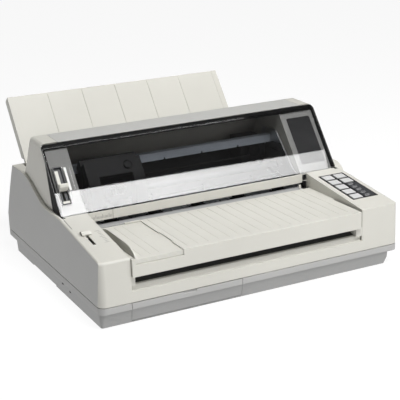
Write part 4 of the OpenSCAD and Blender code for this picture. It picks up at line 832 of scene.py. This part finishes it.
# The small rounding of each piece's edges, in millimetres
SHELL_ROUNDINGS = {"upper_case": 0.5, "window_frame": 0.2, "paper_table": 0.4}
KEY_ROUNDING = 0.45
OTHER_ROUNDINGS = {
    "main_board": 0.15, "transformer": 0.5, "panel_board": 0.15, "lower_case": 0.6,
    "front_flap": 0.5, "rubber_feet": 0.3, "left_guide": 0.45, "front_strip": 0.35,
    "slot_guide": 0.3, "panel_bezel": 0.2, "indicator_plate": 0.15, "select_lever": 0.6,
    "lever_bezel": 0.25, "head_lever": 0.25, "top_cover": 0.5, "paper_support": 0.9,
    "left_frame": 0.2, "right_frame": 0.2, "carriage": 0.4, "print_head": 0.3,
    "ribbon_cartridge": 0.6, "guide_rail": 0.15, "feed_motor": 0.5, "carriage_motor": 0.5,
    "exit_chute": 0.2, "port_plate": 0.2, "rear_sockets": 0.3, "power_rocker": 0.3,
    "entry_guide": 0.15, "cover_foam": 0.8,
    **{"key_" + key: KEY_ROUNDING for key in ("a1", "a2", "a3", "a4", "a5", "b1", "b2")},
    "platen_shaft": 0.3, "guide_shaft": 0.3, "platen": 0.4, "feed_roller": 0.4,
    "pinch_roller": 0.3, "bail_rollers": 0.3, "window_pane": 0.08,
}
LARGE_ROUNDINGS = {"upper_case": case_radius, "paper_table": table_radius}
SHAVED = ("upper_case", "window_frame")
slot_of = {row["node"]: row["material_slot"] for row in frame["record"]["subparts"]}


def soften_pieces(roundings):
    """Stands a softened and painted copy in for every node of the table."""
    for node, small in roundings.items():
        piece = softened(node, small, LARGE_ROUNDINGS.get(node), node in SHAVED)
        paint(piece, slot_of[node], PARTS.get(node, ()))


soften_pieces(SHELL_ROUNDINGS)
ribbed_knob()
soften_pieces(OTHER_ROUNDINGS)
for node, thing in frame["nodes"].items():
    if not thing.hide_render:
        thing.data.materials.clear()
        thing.data.materials.append(PARTS[node][0][0] if node in PARTS else SLOTS[slot_of[node]])

# ---------- Details ----------

PLANE = window_frame_at(0, 0)       # X right, Y up the window's slope, Z out of it
UPRIGHT = Matrix.Translation(at(0, DECK_Y, 0)) @ Matrix.Rotation(math.pi / 2, 4, "X")


def add_tower_marks():
    """The bare label on the right tower, and the gap lever's scale printed on the pane."""
    bm = bmesh.new()
    slab(bm, PLANE, (174, 216), (16, 95), (-TOWER_DEPTH, -TOWER_DEPTH + 0.35), 2.0)
    detail(bm, "tower_label", "upper_case", LABEL_BLACK)
    bm = bmesh.new()
    slab(bm, PLANE, (-203.4, -199.9), (37.5, 73), (0, 0.15), 0.5, 0.05)
    digits(bm, window_frame_at(0, 0, 0.05), [(str(9 - k), -195, 38.5 + 3.8 * k) for k in range(9)], 3.4)
    detail(bm, "gap_scale", "window_pane", WHITE_INK)


def add_entry():
    """The plate behind the table, grey as painted shade, and the fillers at the table's back right
    corner: a black sheet of painted shade and cream blocks.
    """
    bm = bmesh.new()
    slab(bm, Matrix(), (-184, 161), (-57.4, -41.9), (90.5, 91.0), 0.5)
    detail(bm, "entry_plate", "entry_guide", BAND_SHADE_GREY)
    bm = bmesh.new()
    # Painted shade: a black sheet in the gap at the strip's right end, where there is only shade.
    slab(bm, UPRIGHT, (165.4, 170.8), (91.4, 110.4), (0.2, 1.4), 0.3)
    detail(bm, "entry_shade_sheet", "upper_case", INSIDE_SHADE_BLACK)
    bm = bmesh.new()
    slab(bm, Matrix(), (167.9, 170.9), (-128, -58.2), (89.4, 91.2), 0.3)
    slab(bm, UPRIGHT, (155.2, 158.4), (91.6, 97.6), (5.0, 6.6), 0.4)
    detail(bm, "entry_filler", "upper_case", SLOTS["case_cream"], "case_cream")


# Rows of marks: (how many, where the first one is, from one to the next)
STRIP_MARKS = (18, -186, 2)
DECK_MARKS = (9, -107, -4.6)
PANEL_RULES = (5, 6.8, 11.0)


def row(count, start, step):
    """(number, place) of the marks in a row."""
    return [(k, start + step * k) for k in range(count)]


def add_marks():
    """Dark lines in the engraved scales, a dark line of painted shade in the groove at the left deck's
    outer edge, and pale rules on the indicator plate.
    """
    thin = (0.1, 0.02)
    bm = bmesh.new()
    for k, x in row(*STRIP_MARKS):
        top = 107.1 if k % 5 == 0 else 104.7
        slab(bm, UPRIGHT, (x, x + 0.45), (101.1, top), (-0.2, 0.04), *thin)
    detail(bm, "strip_marks", "front_strip", DARK_LINES)
    bm = bmesh.new()
    for k, y in row(*DECK_MARKS):
        more = 2 if k % 4 == 0 else 0
        line = deck_frame_at(-199 - more, y)
        slab(bm, line, (0, 5 + more), (0, 0.5), (-0.05, 0.06), *thin)
    # Painted shade: a dark line along the groove at the left deck's outer edge.
    slab(bm, deck_frame_at(-226.5, -88), (0, 0.6), (0.5, 31.5), (-0.3, 0.05), *thin)
    detail(bm, "deck_marks", "upper_case", DARK_LINES)
    bm = bmesh.new()
    plate = deck_frame_at(PANEL_X + PANEL_PLATE_X, PANEL_Y, 0.1)
    for _, y in row(*PANEL_RULES):
        for x, low, high in ((2.5, 11.5), -0.3, 0.3), ((2.5, 8.5), -2.3, -1.9), ((4.5, 12.5), 3.1, 3.5):
            slab(bm, plate, x, (y + low, y + high), (0, 0.06), *thin)
    detail(bm, "indicator_rules", "indicator_plate", FAINT_INK)


add_tower_marks()
add_entry()
add_marks()

# ---------- Stage ----------

FLOOR_HALF = 9                      # metres
WALL_RADIUS, WALL_HEIGHT, WALL_SIDES = 8.8, 6, 64


def stage_piece(name, points, faces, material):
    mesh = bpy.data.meshes.new(name)
    mesh.from_pydata(points, [], faces)
    mesh.materials.append(material)
    made = new_object(name, mesh)
    return made


def add_stage():
    """A plain white floor, and far behind a white wall that low views see and that lights nothing."""
    white = Shader("floor_white")
    white.set(Base_Color=(0.12, 0.12, 0.12, 1), Roughness=0.9, Specular_IOR_Level=0.0,
              Emission_Color=(1, 1, 1, 1), Emission_Strength=0.92)
    corners = [(x * FLOOR_HALF, y * FLOOR_HALF, 0) for x, y in ((-1, -1), (1, -1), (1, 1), (-1, 1))]
    stage_piece("floor", corners, [(0, 1, 2, 3)], white.material)
    turns = [k * 2 * math.pi / WALL_SIDES for k in range(WALL_SIDES)]
    ring = [(WALL_RADIUS * math.cos(turn), WALL_RADIUS * math.sin(turn), z)
            for z in (0, WALL_HEIGHT) for turn in turns]
    nexts = [(k + 1) % WALL_SIDES for k in range(WALL_SIDES)]
    faces = [(k, n, WALL_SIDES + n, WALL_SIDES + k) for k, n in enumerate(nexts)]
    wall = stage_piece("backdrop", ring, faces, white.material)
    wall.visible_diffuse = wall.visible_glossy = wall.visible_shadow = False


# The card mirrors in the lower part of the window
CARD_TOP_LEFT, CARD_TOP_RIGHT = at(131, -667, 1091), at(831, -604, 985)
CARD_DOWN = Vector((0, -0.69, -0.72)).normalized()
CARD_HEIGHT, CARD_OVERHANG = 0.24, 0.02
CARD_STOPS = [(0.0, 0.87), (0.4, 0.86), (0.75, 0.60), (1.0, 0.38)]


def add_lights():
    """The card, a softer key above it, and a weak front light."""
    middle = (CARD_TOP_LEFT + CARD_TOP_RIGHT) / 2 + CARD_DOWN * CARD_HEIGHT / 2
    side = CARD_TOP_RIGHT - CARD_TOP_LEFT
    size = (side.length + CARD_OVERHANG, CARD_HEIGHT)
    card = area_light("card", middle, side, size, 12.0, at(0, -30, 125))
    fade_along(card, CARD_STOPS)
    area_light("key", at(0, -790, 1860), Vector((1, 0, 0)), (0.44, 0.6), 36, at(0, -80, 90))
    area_light("front", at(640, -1900, 560), Vector((1, 0.3, 0)), (0.9, 0.5), 3.2, at(0, -150, 60))


bpy.context.scene.view_settings.view_transform = "Standard"
add_camera()
add_stage()
add_world(0.08)
add_lights()
